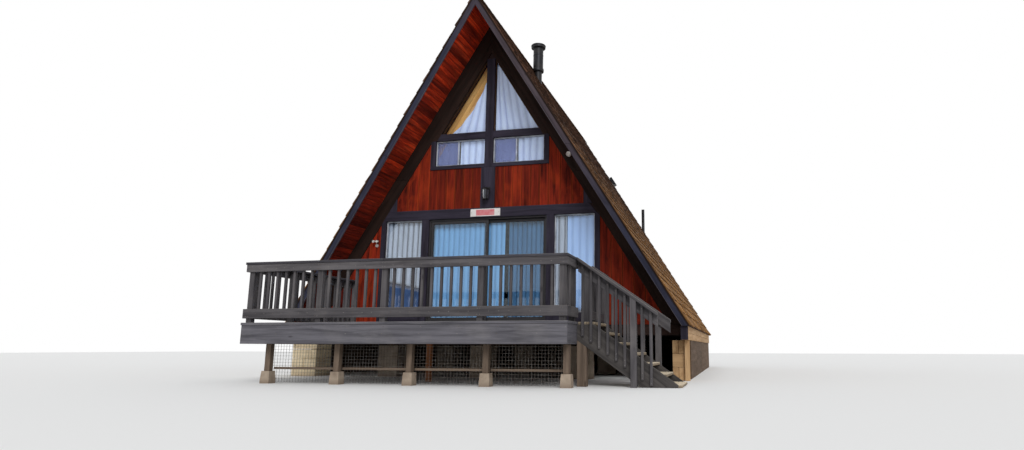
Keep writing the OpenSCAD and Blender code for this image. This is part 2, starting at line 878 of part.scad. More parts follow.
module vents() {
    color(metal_black) difference() {
        union() {
            translate([vent_x, roof_rear - vent_back, ridge_z - vent_x / t - 200])
                cylinder(h = vent_h + 200, r = vent_r, $fn = 32);
            translate([bump_x, roof_rear - bump_back, ridge_z - bump_x / t]) rotate([0, roof_pitch, 0])
                translate([-bump_w / 2, -bump_w / 2, -30]) cube([bump_w, bump_w, 110]);
        }
        upright(-lip, roof_rear + lip) band(ridge_z, soffit_z - lip, eave_z);
    }
}

deck_piers();
deck_posts();
deck_beams();
rim_front();
rim_sides();
joists();
deck_boards();
rail_posts();
rail_front();
rail_sides();
mesh_skirt();
stringers();
treads();
stair_rail_front();
stair_rail_rear();
stair_posts();
house_piers();
girders();
side_beams();
crib_right();
crib_left();
skirt_panels();
floor();
wall_left();
wall_right();
wall_over();
rear_wall();
roof_left();
roof_right();
barges();
ridge_cap();
gable_trim();
window_frames();
window_glass();
door_frame();
door_panel();
door_glass();
curtains_upper();
curtains_lower();
lantern();
floodlights();
plate();
chimney();
vents();
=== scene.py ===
"""Dresses the a-frame cabin: boards, shakes, cloth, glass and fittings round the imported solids.
X runs along the front, Y into the house, Z up, and the front wall's outer face is Y = 0."""
import math
import random

import bpy
from mathutils import Matrix, Vector


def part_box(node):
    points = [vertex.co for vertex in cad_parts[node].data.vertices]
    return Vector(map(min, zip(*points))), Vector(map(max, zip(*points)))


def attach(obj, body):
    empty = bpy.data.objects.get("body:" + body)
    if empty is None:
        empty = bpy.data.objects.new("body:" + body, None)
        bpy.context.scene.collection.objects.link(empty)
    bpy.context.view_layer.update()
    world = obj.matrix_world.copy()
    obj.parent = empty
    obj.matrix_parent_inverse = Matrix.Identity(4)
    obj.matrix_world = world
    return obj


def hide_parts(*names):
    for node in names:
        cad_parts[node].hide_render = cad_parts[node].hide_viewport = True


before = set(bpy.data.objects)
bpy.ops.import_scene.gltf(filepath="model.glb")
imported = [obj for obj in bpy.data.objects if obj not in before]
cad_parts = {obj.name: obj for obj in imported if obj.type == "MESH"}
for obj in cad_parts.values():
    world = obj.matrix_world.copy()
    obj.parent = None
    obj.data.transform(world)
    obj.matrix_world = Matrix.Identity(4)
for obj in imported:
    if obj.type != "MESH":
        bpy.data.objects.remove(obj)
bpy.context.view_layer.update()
scene = bpy.context.scene
scene.view_settings.view_transform = "Standard"

# Camera: stands low in front of the right-hand corner, turned left and tilted up, with the
# slight shift of a cropped picture. Place, turn and lens come from the fitted sight lines.
PICTURE_WIDE, PICTURE_HIGH, CHIP, LENS_POINTS, SIGHT_X, SIGHT_Y = 1024, 450, 36, 652.2, 588, 229.7
yaw, pitch, roll = (math.radians(angle) for angle in (12.652, 10.247, 0.110))
sight = Vector((-math.sin(yaw) * math.cos(pitch), math.cos(yaw) * math.cos(pitch), math.sin(pitch)))
level = Vector((math.cos(yaw), math.sin(yaw), 0))
upright = level.cross(sight)
lens_data = bpy.data.cameras.new("camera")
lens_data.sensor_width = CHIP
lens_data.lens = LENS_POINTS / PICTURE_WIDE * CHIP
lens_data.shift_x = (PICTURE_WIDE / 2 - SIGHT_X) / PICTURE_WIDE
lens_data.shift_y = (SIGHT_Y - PICTURE_HIGH / 2) / PICTURE_WIDE
lens_data.clip_end = 200
camera = bpy.data.objects.new("camera", lens_data)
right_way = level * math.cos(roll) + upright * math.sin(roll)
up_way = upright * math.cos(roll) - level * math.sin(roll)
turn = Matrix((right_way, up_way, -sight)).transposed().to_4x4()
camera.matrix_world = Matrix.Translation((4.679, -11.822, 0.558)) @ turn
scene.collection.objects.link(camera)
scene.camera = camera


# Studio: a pale floor, an even pale surround and one broad soft lamp from the upper right.
# The surround is white to the eye, in gloss and through glass, and plainer as a light.
def node(tree, kind, settings=None, **sockets):
    """Adds a node; sockets are set by name, with _ for a space, or by place as i0, i1."""
    made = tree.nodes.new(kind)
    for key, value in (settings or {}).items():
        setattr(made, key, value)
    for key, value in sockets.items():
        place = int(key[1:]) if key[0] == "i" and key[1:].isdigit() else key.replace("_", " ")
        if isinstance(value, bpy.types.NodeSocket):
            tree.links.new(value, made.inputs[place])
        else:
            made.inputs[place].default_value = value
    return made


def maths(tree, kind, a, b=0.0, clamp=False):
    return node(tree, "ShaderNodeMath", {"operation": kind, "use_clamp": clamp}, i0=a, i1=b).outputs[0]


def new_finish(name, **fixed):
    """An empty material to fill: its tree, its shader and the object coordinates."""
    made = bpy.data.materials.new(name)
    made.use_nodes = True
    tree = made.node_tree
    tree.nodes.clear()
    shader = node(tree, "ShaderNodeBsdfPrincipled", **fixed)
    node(tree, "ShaderNodeOutputMaterial", Surface=shader.outputs[0])
    return made, tree, shader, node(tree, "ShaderNodeTexCoord").outputs["Object"]


def shaped(name, verts, faces, finish=None):
    """A piece from its corners and faces."""
    mesh = bpy.data.meshes.new(name)
    mesh.from_pydata(verts, [], faces)
    if finish:
        mesh.materials.append(finish)
    made = bpy.data.objects.new(name, mesh)
    scene.collection.objects.link(made)
    return made


world = bpy.data.worlds.new("studio")
scene.world = world
world.use_nodes = True
sky = world.node_tree
sky.nodes.clear()
ray = node(sky, "ShaderNodeLightPath").outputs
seen = maths(sky, "MAXIMUM", ray["Is Camera Ray"], ray["Is Glossy Ray"])
seen = maths(sky, "MAXIMUM", seen, ray["Is Transmission Ray"])
as_light = node(sky, "ShaderNodeBackground", Color=(0.97, 0.98, 1, 1), Strength=0.66)
as_seen = node(sky, "ShaderNodeBackground", Color=(1, 1, 1, 1), Strength=1.0)
both_ways = node(sky, "ShaderNodeMixShader", i0=seen, i1=as_light.outputs[0], i2=as_seen.outputs[0])
node(sky, "ShaderNodeOutputWorld", Surface=both_ways.outputs[0])

lamp_data = bpy.data.lights.new("broad lamp", "SUN")
lamp_data.energy, lamp_data.angle = 1.5, math.radians(25)
lamp = bpy.data.objects.new("broad lamp", lamp_data)
lamp.rotation_euler = Vector((-0.45, 1.0, -0.75)).to_track_quat("-Z", "Y").to_euler()
scene.collection.objects.link(lamp)
pale = new_finish("studio floor", Base_Color=(0.84, 0.84, 0.83, 1), Roughness=0.95)[0]
shaped("studio_floor", [(-60, -60, 0), (60, -60, 0), (60, 60, 0), (-60, 60, 0)],
                [(0, 1, 2, 3)], pale)


# Deck piers and house piers: cast concrete blocks with pits, stains and a damp dark foot.
# They are plain castings that stand loose on the ground under each post and girder.
def tint(red, green, blue):
    """A colour as a screen shows it, 0 to 255, turned into the renderer's own numbers."""
    return tuple((c / 255 / 12.92) if c < 11 else ((c / 255 + 0.055) / 1.055) ** 2.4
                 for c in (red, green, blue))


def mixed(tree, share, a, b):
    a, b = ((*colour, 1.0) if isinstance(colour, tuple) else colour for colour in (a, b))
    return node(tree, "ShaderNodeMix", {"data_type": "RGBA"}, i0=share, i6=a, i7=b).outputs[2]


def spread(tree, value, low, high, out_low=0.0, out_high=1.0):
    return node(tree, "ShaderNodeMapRange", Value=value, From_Min=low, From_Max=high,
                To_Min=out_low, To_Max=out_high).outputs[0]


def part(tree, vector, axis):
    return node(tree, "ShaderNodeSeparateXYZ", Vector=vector).outputs[axis]


def joined(tree, x=0.0, y=0.0, z=0.0):
    return node(tree, "ShaderNodeCombineXYZ", X=x, Y=y, Z=z).outputs[0]


def plus(tree, a, b):
    return maths(tree, "ADD", a, b)


def minus(tree, a, b):
    return maths(tree, "SUBTRACT", a, b)


def times(tree, a, b):
    return maths(tree, "MULTIPLY", a, b)


def noise(tree, place, scale, detail=2.0, **more):
    return node(tree, "ShaderNodeTexNoise", Vector=place, Scale=scale, Detail=detail, **more).outputs[0]


def fill(tree, shader, height=None, depth=0.0, strength=0.0, **sockets):
    """Links what varies over a surface to its shader, with a bump of the given depth."""
    if height is not None:
        bump = node(tree, "ShaderNodeBump", Height=height, Distance=depth, Strength=strength)
        sockets["Normal"] = bump.outputs[0]
    for key, value in sockets.items():
        tree.links.new(value, shader.inputs[key.replace("_", " ")])


def cast_stone(name, body, stain, pit_size=60.0):
    made, tree, shader, place = new_finish(name, Roughness=0.93)
    body, stain = tint(*body), tint(*stain)
    pits = node(tree, "ShaderNodeTexVoronoi", Vector=place, Scale=pit_size).outputs["Distance"]
    damp = spread(tree, part(tree, place, "Z"), 0.0, 0.12, 0.75, 0.0)
    cloud = spread(tree, noise(tree, place, 5.0, 6.0), 0.4, 0.75, 0.0, 0.8)
    colour = mixed(tree, maths(tree, "MAXIMUM", cloud, damp, clamp=True), body, stain)
    colour = mixed(tree, spread(tree, pits, 0.05, 0.2, 0.5, 0.0), colour, tuple(0.4 * c for c in stain))
    rough_face = plus(tree, noise(tree, place, 90.0, 3.0), spread(tree, pits, 0.0, 0.3, 0.0, 1.5))
    fill(tree, shader, rough_face, 0.004, 0.6, Base_Color=colour)
    return made


def paint_node(finish, *names):
    """Gives carried-over CAD nodes their finish."""
    for name in names:
        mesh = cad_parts[name].data
        mesh.materials.clear()
        mesh.materials.append(finish)


def settle(piece, slot, *nodes, body="house"):
    """Puts a finished piece on its body and hides the plain solids it stands for."""
    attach(piece, body)
    if nodes:
        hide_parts(*nodes)
    return piece


def lathe(name, profile, finish, centre, steps=40, turn=None):
    """A turned shape from radius and height pairs, closed at both ends."""
    verts, faces = [], []
    for r, h in profile:
        for i in range(steps):
            a = 2 * math.pi * i / steps
            verts.append(Vector((r * math.cos(a), r * math.sin(a), h)))
    for j in range(len(profile) - 1):
        for i in range(steps):
            k = (i + 1) % steps
            faces.append((j * steps + i, j * steps + k, (j + 1) * steps + k, (j + 1) * steps + i))
    faces.append(tuple(range(steps - 1, -1, -1)))
    faces.append(tuple(range((len(profile) - 1) * steps, len(profile) * steps)))
    if turn:
        verts = [turn @ v for v in verts]
    made = shaped(name, [v + Vector(centre) for v in verts], faces, finish)
    for face in made.data.polygons:
        face.use_smooth = len(face.vertices) == 4
    made.modifiers.new("sharp rims", "EDGE_SPLIT").split_angle = math.radians(35)
    return made


concrete = cast_stone("cast concrete", (168, 152, 134), (112, 96, 82))
paint_node(concrete, "house_piers")
PIER_ROW, PIER_TOP, PIER_WIDE, PIER_HEAD_WIDE, FIRST_PIER, PIER_STEP = 2.70, 0.19, 0.158, 0.138, -2.51, 1.21
PIER_SPOTS = [FIRST_PIER + i * PIER_STEP for i in range(5)]
corner_out = math.sqrt(0.5)
pier_sides = [(PIER_WIDE * corner_out, 0), (PIER_WIDE * corner_out, PIER_TOP / 3),
              (PIER_HEAD_WIDE * corner_out, PIER_TOP)]
for number, x in enumerate(PIER_SPOTS):
    pier = lathe(f"pier_block_{number}", pier_sides, concrete, (x, -PIER_ROW, 0), 4,
                 Matrix.Rotation(math.radians(45), 3, "Z"))
    settle(pier, "pier_stone", *(["deck_piers"] if number == 0 else []))


# Block pier at the left corner: courses of beige hollow block laid dry, two to a course,
# turned at each course, each block with slightly broken edges and its own tone.
LEVEL, INWARD, PLUMB = (1, 0, 0), (0, 1, 0), (0, 0, 1)


def square(x0, x1, z0, z1):
    return [(x0, z0), (x1, z0), (x1, z1), (x0, z1)]


def flat(ring, y, thick, along):
    """A board from an outline in X and Z: its face, its thickness and the way of its grain."""
    return [(x, y, z) for x, z in ring], (0, thick, 0), along


def plank(a, b, along="x"):
    """A straight board from one corner to the other."""
    (x0, y0, z0), (x1, y1, z1) = a, b
    return flat(square(x0, x1, z0, z1), y0, y1 - y0, {"x": LEVEL, "y": INWARD, "z": PLUMB}[along])


def build_boards(name, boards, finish, seed, edge=0.004):
    """Boards as one object, each with its own tone and grain shift, and eased edges."""
    draw = random.Random(seed)
    verts, faces, grain, tone, across = [], [], [], [], []
    for face, thick, along in boards:
        face, thick, along = [Vector(p) for p in face], Vector(thick), Vector(along).normalized()
        out = (face[1] - face[0]).cross(face[2] - face[0]).normalized()
        if out.dot(thick) > 0:
            face.reverse()
        side = out.cross(along) if abs(out.dot(along)) < 0.9 else Vector((0, 0, 1)).cross(along)
        inward = along.cross(side)
        shift = Vector([draw.uniform(0, 40) for _ in range(3)])
        value = draw.random()
        first, count = len(verts), len(face)
        places = [p.dot(side) for p in face]
        middle, reach = (max(places) + min(places)) / 2, (max(places) - min(places)) / 2
        for p in face + [q + thick for q in face]:
            verts.append(p)
            grain.extend(Vector((p.dot(along), p.dot(side), p.dot(inward))) + shift)
            tone.append(value)
            across.append((p.dot(side) - middle) / reach)
        faces.append(list(range(first, first + count)))
        faces.append(list(range(first + 2 * count - 1, first + count - 1, -1)))
        for i in range(count):
            j = (i + 1) % count
            faces.append([first + j, first + i, first + i + count, first + j + count])
    made = shaped(name, verts, faces, finish)
    for key, values in (("tone", tone), ("across", across)):
        made.data.attributes.new(key, "FLOAT", "POINT").data.foreach_set("value", values)
    made.data.attributes.new("grain", "FLOAT_VECTOR", "POINT").data.foreach_set("vector", grain)
    if edge:
        eased = made.modifiers.new("eased edges", "BEVEL")
        eased.width, eased.segments, eased.limit_method = edge, 1, "ANGLE"
    return made


def lay(name, boards, finish, seed, slot, *nodes, edge=0.004, body="house"):
    """Boards made and put in place of their plain solids."""
    return settle(build_boards(name, boards, finish, seed, edge), slot, *nodes, body=body)


def seams(length, count, gap):
    """Start and end of each of several equal pieces with a gap between them."""
    one = (length + gap) / count
    return [(i * one, (i + 1) * one - gap) for i in range(count)]


low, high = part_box("crib_left")
BLOCK_GAP = 0.006
blocks = []
for course, (z0, z1) in enumerate(seams(high.z, 4, BLOCK_GAP)):
    for x0, x1 in seams(high.x - low.x, 2 if course % 2 else 1, BLOCK_GAP):
        for y0, y1 in seams(high.y - low.y, 1 if course % 2 else 2, BLOCK_GAP):
            blocks.append(plank((low.x + x0, low.y + y0, z0), (low.x + x1, low.y + y1, z1)))
beige_block = cast_stone("beige block", (230, 212, 178), (180, 158, 126), 90.0)
lay("block_pier", blocks, beige_block, 3, "block_beige", "crib_left", edge=0.008)


# Deck frame: posts on the piers, the beam in two lengths, ledger and joists, all sawn softwood
# gone grey-brown in the shade, and one bare cedar post wedged in later with a packer under a joist.
def wood_group():
    """How any board here looks, from its own grain, tone and place across its width."""
    group = bpy.data.node_groups.new("weathered wood", "ShaderNodeTree")
    for kind, names in (("Vector", "Grain"), ("Color", "Body Deep Pale Rim"),
                        ("Float", "Tone Fading Streaks Spread Across Rimming")):
        for name in names.split():
            group.interface.new_socket(name, in_out="INPUT", socket_type=f"NodeSocket{kind}")
    for name, kind in (("Color", "Color"), ("Roughness", "Float"), ("Height", "Float")):
        group.interface.new_socket(name, in_out="OUTPUT", socket_type=f"NodeSocket{kind}")
    given = group.nodes.new("NodeGroupInput").outputs
    long_way, fibre_way, knot_way = (
        node(group, "ShaderNodeVectorMath", {"operation": "MULTIPLY"}, i0=given["Grain"], i1=size).outputs[0]
        for size in ((0.9, 13, 13), (5, 170, 170), (1.5, 5, 5)))
    streak = noise(group, long_way, 1.0, 7.0, Roughness=0.62, Distortion=0.5)
    fibre = noise(group, fibre_way, 1.0, 3.0)
    knot = node(group, "ShaderNodeTexVoronoi", Vector=knot_way, Scale=1.0).outputs[0]
    patch = noise(group, given["Grain"], 1.7, 5.0)
    up = part(group, node(group, "ShaderNodeNewGeometry").outputs["Normal"], "Z")
    deep_share = times(group, spread(group, streak, 0.38, 0.68), given["Streaks"])
    colour = mixed(group, deep_share, given["Body"], given["Deep"])
    worn = times(group, spread(group, up, 0.2, 0.9), given["Fading"])
    patchy = times(group, spread(group, patch, 0.5, 0.8, 0.0, 0.45), given["Fading"])
    worn = maths(group, "MAXIMUM", worn, patchy, clamp=True)
    worn = times(group, worn, spread(group, fibre, 0.3, 0.6, 0.55, 1.0))
    colour = mixed(group, worn, colour, given["Pale"])
    colour = mixed(group, spread(group, knot, 0.03, 0.09, 0.8, 0.0), colour, given["Deep"])
    near_edge = spread(group, maths(group, "ABSOLUTE", given["Across"]), 0.80, 0.95)
    rubbed = times(group, near_edge, spread(group, streak, 0.32, 0.6, 0.35, 1.0))
    colour = mixed(group, times(group, rubbed, given["Rimming"]), colour, given["Rim"])
    lift = times(group, minus(group, given["Tone"], 0.5), given["Spread"])
    shade = times(group, plus(group, lift, 1.0), spread(group, fibre, 0.25, 0.75, 0.88, 1.12))
    toned = node(group, "ShaderNodeVectorMath", {"operation": "SCALE"}, i0=colour, Scale=shade)
    node(group, "NodeGroupOutput", Color=toned.outputs[0],
         Roughness=spread(group, streak, 0.3, 0.7, 0.68, 0.9),
         Height=plus(group, times(group, streak, 0.8), times(group, fibre, 0.5)))
    return group


weathered_wood = wood_group()


def own(tree, name, kind="Fac"):
    """A piece's own attribute, as a material reads it."""
    return node(tree, "ShaderNodeAttribute", {"attribute_name": name}).outputs[kind]


def timber(name, tones, fading=0.5, streaks=0.8, lots=0.35, depth=0.0025, grain=None,
           rim=(0, 0, 0), rimming=0.0, sheen=0.2, second=None, share=None):
    """Wood in body, deep and pale tones; a second set of them takes over where share says.
    The grain follows the boards' own attribute, or for a CAD node one axis."""
    made, tree, shader, place = new_finish(name, Specular_IOR_Level=sheen)
    if grain:
        order = {"x": "XYZ", "y": "YXZ"}[grain]
        way = joined(tree, *(part(tree, place, axis) for axis in order))
        tone = noise(tree, place, 0.7)
    else:
        way, tone = own(tree, "grain", "Vector"), own(tree, "tone")
    tones = [(*tint(*colour), 1) for colour in tones]
    if second:
        there = share(tree, place)
        tones = [mixed(tree, there, colour[:3], tint(*other)) for colour, other in zip(tones, second)]
    wood = node(tree, "ShaderNodeGroup", {"node_tree": weathered_wood}, Grain=way, Tone=tone,
                Body=tones[0], Deep=tones[1], Pale=tones[2], Fading=fading, Streaks=streaks,
                Spread=lots, Rim=(*tint(*rim), 1), Rimming=rimming, Across=own(tree, "across")).outputs
    fill(tree, shader, wood["Height"], depth, 0.7, Base_Color=wood["Color"], Roughness=wood["Roughness"])
    return made


dull_timber = timber("timber in the shade", [(116, 100, 86), (62, 52, 45), (156, 138, 118)], 0.4)
bare_timber = timber("bare timber", [(160, 98, 55), (105, 55, 28), (178, 125, 80)], 0.3)

DECK_LEFT, DECK_RIGHT, DECK_FRONT, DECK_TOP, PLANK = -2.84, 2.40, -2.985, 0.930, 0.038
JOIST_WIDE, JOIST_STEP, BEAM_HIGH, STRING_BELOW, STRING_WIDE = 0.19, 0.597, 0.096, 0.04, 0.335
rim_head = DECK_TOP - PLANK
joist_foot = rim_head - JOIST_WIDE
beam_foot = joist_foot - BEAM_HIGH
RISE, GOING, NOSE_X, STAIR_Y0, STAIR_Y1 = 0.148, 0.210, 2.66, -2.40, -1.362
fall = RISE / GOING
stair_angle = math.atan(fall)
string_head, string_drop = DECK_TOP - STRING_BELOW, STRING_WIDE / math.cos(stair_angle)
POST_SIDE, PILLAR, BEAM_SEAM, BEAM_HALF, OPEN_JOINT = 0.092, 0.14, -0.09, 0.045, 0.002
under = [plank((x - POST_SIDE / 2, -PIER_ROW - POST_SIDE / 2, PIER_TOP),
               (x + POST_SIDE / 2, -PIER_ROW + POST_SIDE / 2, beam_foot), "z") for x in PIER_SPOTS]
pillar_head = [(x, string_head - string_drop + (NOSE_X - x) * fall)
               for x in (DECK_RIGHT + PILLAR, DECK_RIGHT)]
pillar = [(DECK_RIGHT, 0), (DECK_RIGHT + PILLAR, 0)] + pillar_head
under.append(flat(pillar, STAIR_Y0, PILLAR, PLUMB))
under += [plank((x0, -PIER_ROW - BEAM_HALF, beam_foot), (x1, -PIER_ROW + BEAM_HALF, joist_foot))
          for x0, x1 in ((DECK_LEFT + PLANK, BEAM_SEAM - OPEN_JOINT),
                         (BEAM_SEAM + OPEN_JOINT, DECK_RIGHT - PLANK))]
under.append(plank((DECK_LEFT + PLANK, -PLANK, joist_foot), (DECK_RIGHT - PLANK, 0, rim_head)))
JOIST_SPOTS = [DECK_LEFT + PLANK + i * JOIST_STEP for i in range(1, 9)]
under += [plank((x - PLANK / 2, DECK_FRONT + PLANK, joist_foot), (x + PLANK / 2, -PLANK, rim_head), "y")
          for x in JOIST_SPOTS]
lay("deck_frame", under, dull_timber, 11, "timber_grey", "deck_posts", "deck_beams", "joists", edge=0.005)
CEDAR_X, CEDAR_Y, CEDAR, PACKER_PAST = -0.305, -1.67, 0.089, 0.06
packer_foot = joist_foot - PLANK
cedar = [plank((CEDAR_X - CEDAR / 2, CEDAR_Y, 0), (CEDAR_X + CEDAR / 2, CEDAR_Y + CEDAR, packer_foot), "z"),
         plank((JOIST_SPOTS[3] - 0.04, CEDAR_Y, packer_foot),
               (CEDAR_X + PACKER_PAST, CEDAR_Y + CEDAR, joist_foot))]
lay("cedar_post", cedar, bare_timber, 12, "timber_tan", edge=0.006)

# Rim of the deck: one long board across the front and one down each side, under an old
# charcoal stain, nailed to the ends of the joists with pairs of galvanised nails.
grey_timber = timber("grey stained timber", [(102, 100, 106), (58, 57, 62), (144, 140, 138)], 0.8)
RIM_WIDE = 0.286
rim_foot = rim_head - RIM_WIDE
rim = [plank((DECK_LEFT, DECK_FRONT, rim_foot), (DECK_RIGHT, DECK_FRONT + PLANK, rim_head))]
rim += [plank((x, DECK_FRONT + PLANK, rim_foot), (x + PLANK, 0, rim_head), "y")
        for x in (DECK_LEFT, DECK_RIGHT - PLANK)]
lay("rim_boards", rim, grey_timber, 21, "timber_grey", "rim_front", "rim_sides")


def new_steps(name, **inputs):
    """An empty geometry tree with a mesh in, a mesh out and named inputs."""
    steps = bpy.data.node_groups.new(name, "GeometryNodeTree")
    steps.interface.new_socket("Geometry", in_out="INPUT", socket_type="NodeSocketGeometry")
    for key, kind in inputs.items():
        steps.interface.new_socket(key, in_out="INPUT", socket_type="NodeSocket" + kind)
    steps.interface.new_socket("Geometry", in_out="OUTPUT", socket_type="NodeSocketGeometry")
    return steps, steps.nodes.new("NodeGroupInput").outputs


def drawn(steps, kind, low, high, index=None, seed=0):
    """A random number or vector between two limits."""
    where = 0 if kind == "FLOAT_VECTOR" else 2
    made = node(steps, "FunctionNodeRandomValue", {"data_type": kind}, Seed=seed,
                **{f"i{where}": low, f"i{where + 1}": high})
    if index is not None:
        steps.links.new(index, made.inputs["ID"])
    return made.outputs[0 if kind == "FLOAT_VECTOR" else 1]


def stored(steps, shape, name, value, kind="FLOAT", domain="POINT"):
    settings = {"data_type": kind, "domain": domain}
    return node(steps, "GeometryNodeStoreNamedAttribute", settings, Geometry=shape, Name=name,
                Value=value).outputs[0]


def named(steps, name, kind="FLOAT"):
    return node(steps, "GeometryNodeInputNamedAttribute", {"data_type": kind}, Name=name).outputs[0]


def here(steps):
    return node(steps, "GeometryNodeInputPosition").outputs[0]


def moved(steps, shape, place):
    return node(steps, "GeometryNodeSetPosition", Geometry=shape, Position=place).outputs[0]


def set_on(steps, points, piece, **sockets):
    return node(steps, "GeometryNodeInstanceOnPoints", Points=points, Instance=piece, **sockets).outputs[0]


def realised(steps, shape, seed):
    """Gives each instance a lot number and a shift of grain, then makes it plain mesh."""
    shape = stored(steps, shape, "lot", drawn(steps, "FLOAT", 0.0, 1.0, seed=seed), domain="INSTANCE")
    far = drawn(steps, "FLOAT_VECTOR", (0, 0, 0), (40, 40, 40), seed=seed)
    shape = stored(steps, shape, "shift", far, "FLOAT_VECTOR", "INSTANCE")
    shape = node(steps, "GeometryNodeRealizeInstances", Geometry=shape).outputs[0]
    return stored(steps, shape, "tone", named(steps, "lot"))


def grained(steps, shape, way):
    """Stores the grain as a way through the wood, moved by each piece's own shift."""
    way = node(steps, "ShaderNodeVectorMath", {"operation": "ADD"}, i0=way,
               i1=named(steps, "shift", "FLOAT_VECTOR")).outputs[0]
    return stored(steps, shape, "grain", way, "FLOAT_VECTOR")


def leaning_edge(steps, given, height):
    """How far forward the leaning front stands at a height."""
    return minus(steps, given["Front"], times(steps, height, given["Lean"]))


def finished(steps, shape, finish):
    shape = node(steps, "GeometryNodeSetMaterial", Geometry=shape, Material=finish).outputs[0]
    node(steps, "NodeGroupOutput", Geometry=shape)


# One board or nail set out on many points, then cut at a slope and at a leaning front
set_out, given = new_steps("set out", Board="Object", Seed="Int", Apex="Float", Slope="Float",
                           Front="Float", Lean="Float", Finish="Material")
board = node(set_out, "GeometryNodeObjectInfo", Object=given["Board"]).outputs["Geometry"]
shape = set_on(set_out, given["Geometry"], board, Rotation=named(set_out, "turn", "FLOAT_VECTOR"),
               Scale=named(set_out, "size", "FLOAT_VECTOR"))
shape = realised(set_out, shape, given["Seed"])
shape = grained(set_out, shape, named(set_out, "grain", "FLOAT_VECTOR"))
x, y, z = (part(set_out, here(set_out), axis) for axis in "XYZ")
top = times(set_out, maths(set_out, "ABSOLUTE", x), given["Slope"])
top = maths(set_out, "MINIMUM", z, minus(set_out, given["Apex"], top))
front = maths(set_out, "MAXIMUM", y, leaning_edge(set_out, given, top))
finished(set_out, moved(set_out, shape, joined(set_out, x, front, top)), given["Finish"])


def grow(name, steps, start=None, **inputs):
    """Runs a geometry tree and keeps what it makes as a plain mesh object."""
    held = bpy.data.objects.new(name + "_start", start or bpy.data.meshes.new(name + "_start"))
    scene.collection.objects.link(held)
    run = held.modifiers.new("steps", "NODES")
    run.node_group = steps
    for item in steps.interface.items_tree:
        if item.item_type == "SOCKET" and item.in_out == "INPUT" and item.name in inputs:
            run[item.identifier] = inputs[item.name]
    view = bpy.context.evaluated_depsgraph_get()
    mesh = bpy.data.meshes.new_from_object(held.evaluated_get(view), depsgraph=view)
    bpy.data.objects.remove(held)
    mesh.name = name
    made = bpy.data.objects.new(name, mesh)
    scene.collection.objects.link(made)
    return made


def set_pieces(name, template, spots, finish, seed, turn=(0, 0, 0), apex=100.0, slope=0.0,
               front=-100.0, lean=0.0):
    """One template on many points, with its own tone at each; the template is used up."""
    start = bpy.data.meshes.new(name + "_spots")
    start.from_pydata(spots, [], [])
    for key, value in (("turn", turn), ("size", (1, 1, 1))):
        spread_out = start.attributes.new(key, "FLOAT_VECTOR", "POINT")
        spread_out.data.foreach_set("vector", value * len(spots))
    made = grow(name, set_out, start, Board=template, Seed=seed, Apex=apex, Slope=slope,
                Front=front, Lean=lean, Finish=finish)
    bpy.data.objects.remove(template)
    return made


NAIL_RADIUS, NAIL_PROUD = 0.006, 0.0015
galvanised, tree, shader, place = new_finish("dull zinc", Metallic=0.5, Roughness=0.6)
dirt = spread(tree, noise(tree, place, 40.0, 4.0), 0.4, 0.6)
fill(tree, shader, Base_Color=mixed(tree, dirt, tint(128, 124, 120), tint(84, 72, 62)))


def nails(name, spots, seed, turn=(0, 0, 0)):
    """Flat round heads at the given places, facing the front unless turned."""
    ring = [(NAIL_RADIUS * math.cos(i * math.pi / 4), NAIL_RADIUS * math.sin(i * math.pi / 4))
            for i in range(8)]
    head = build_boards("nail", [flat(ring, -NAIL_PROUD, NAIL_PROUD + 0.001, LEVEL)], galvanised, 0, 0)
    settle(set_pieces(name, head, spots, galvanised, seed, turn), "wire")


rim_nails = [(x + dx, DECK_FRONT, z) for x in JOIST_SPOTS
             for dx, z in ((-0.009, rim_foot + 0.15), (0.011, rim_foot + 0.25))]
rim_nails += [(x, DECK_FRONT, z) for x in (DECK_LEFT + 0.02, DECK_RIGHT - 0.02)
              for z in (rim_foot + 0.05, rim_foot + 0.14, rim_foot + 0.24)]
nails("rim_nails", rim_nails, 5)

# Deck boards: planks laid along the front with a finger's gap, worn pale on top, each nailed to
# the joists. The last one stands a thumb past the rim.
low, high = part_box("deck_boards")
DECK_COUNT, DECK_GAP = 21, 0.006
one = (high.y - low.y + DECK_GAP) / DECK_COUNT
template = build_boards("deck_board", [plank((low.x, 0, low.z), (high.x, one - DECK_GAP, high.z))],
                        grey_timber, 0)
deck_rows = [low.y + i * one for i in range(DECK_COUNT)]
settle(set_pieces("deck_planks", template, [(0, y, 0) for y in deck_rows], grey_timber, 31),
       "timber_grey", "deck_boards")
deck_nails = [(x, y + dy, DECK_TOP) for y in deck_rows for x in JOIST_SPOTS for dy in (0.03, one - 0.035)]
nails("deck_nails", deck_nails, 6, (-math.pi / 2, 0, 0))

# Guard rail: square balusters nailed behind a foot board and a face board, under a flat cap
# that is worn pale, darkened with painted shade and opened at its joints; posts of doubled
# timber stand behind.
RAIL_TOP, CAP_WIDE, CAP_LAP, BALUSTER, POST = DECK_TOP + 0.946, 0.14, 0.012, 0.038, 0.09
FACE_WIDE, FOOT_WIDE, FOOT_UP, BALUSTER_STEP = 0.115, 0.146, 0.066, 0.15
cap_foot = RAIL_TOP - PLANK
FACE = (cap_foot - FACE_WIDE, cap_foot)
FOOT = (DECK_TOP + FOOT_UP, DECK_TOP + FOOT_UP + FOOT_WIDE)
POST_SPOTS = [DECK_LEFT + d for d in (0.083, 1.300, 2.388, 3.926, 5.157)]
CORNER_Y, NEAR_Y, FAR_Y, WALL_Y = -2.902, -2.355, -1.335, -0.045
LEFT_SPOTS = [CORNER_Y + 2.857 * i / 3 for i in range(4)]
STAIR_FRONT, STAIR_REAR, CAP_SEAM = -2.31, -1.38, -0.452
rail_timber = timber("rail timber", [(83, 80, 82), (46, 44, 47), (132, 126, 122)], 0.8)
left_in, right_in, post_y = DECK_LEFT + PLANK, DECK_RIGHT - PLANK, DECK_FRONT + PLANK
rail = []
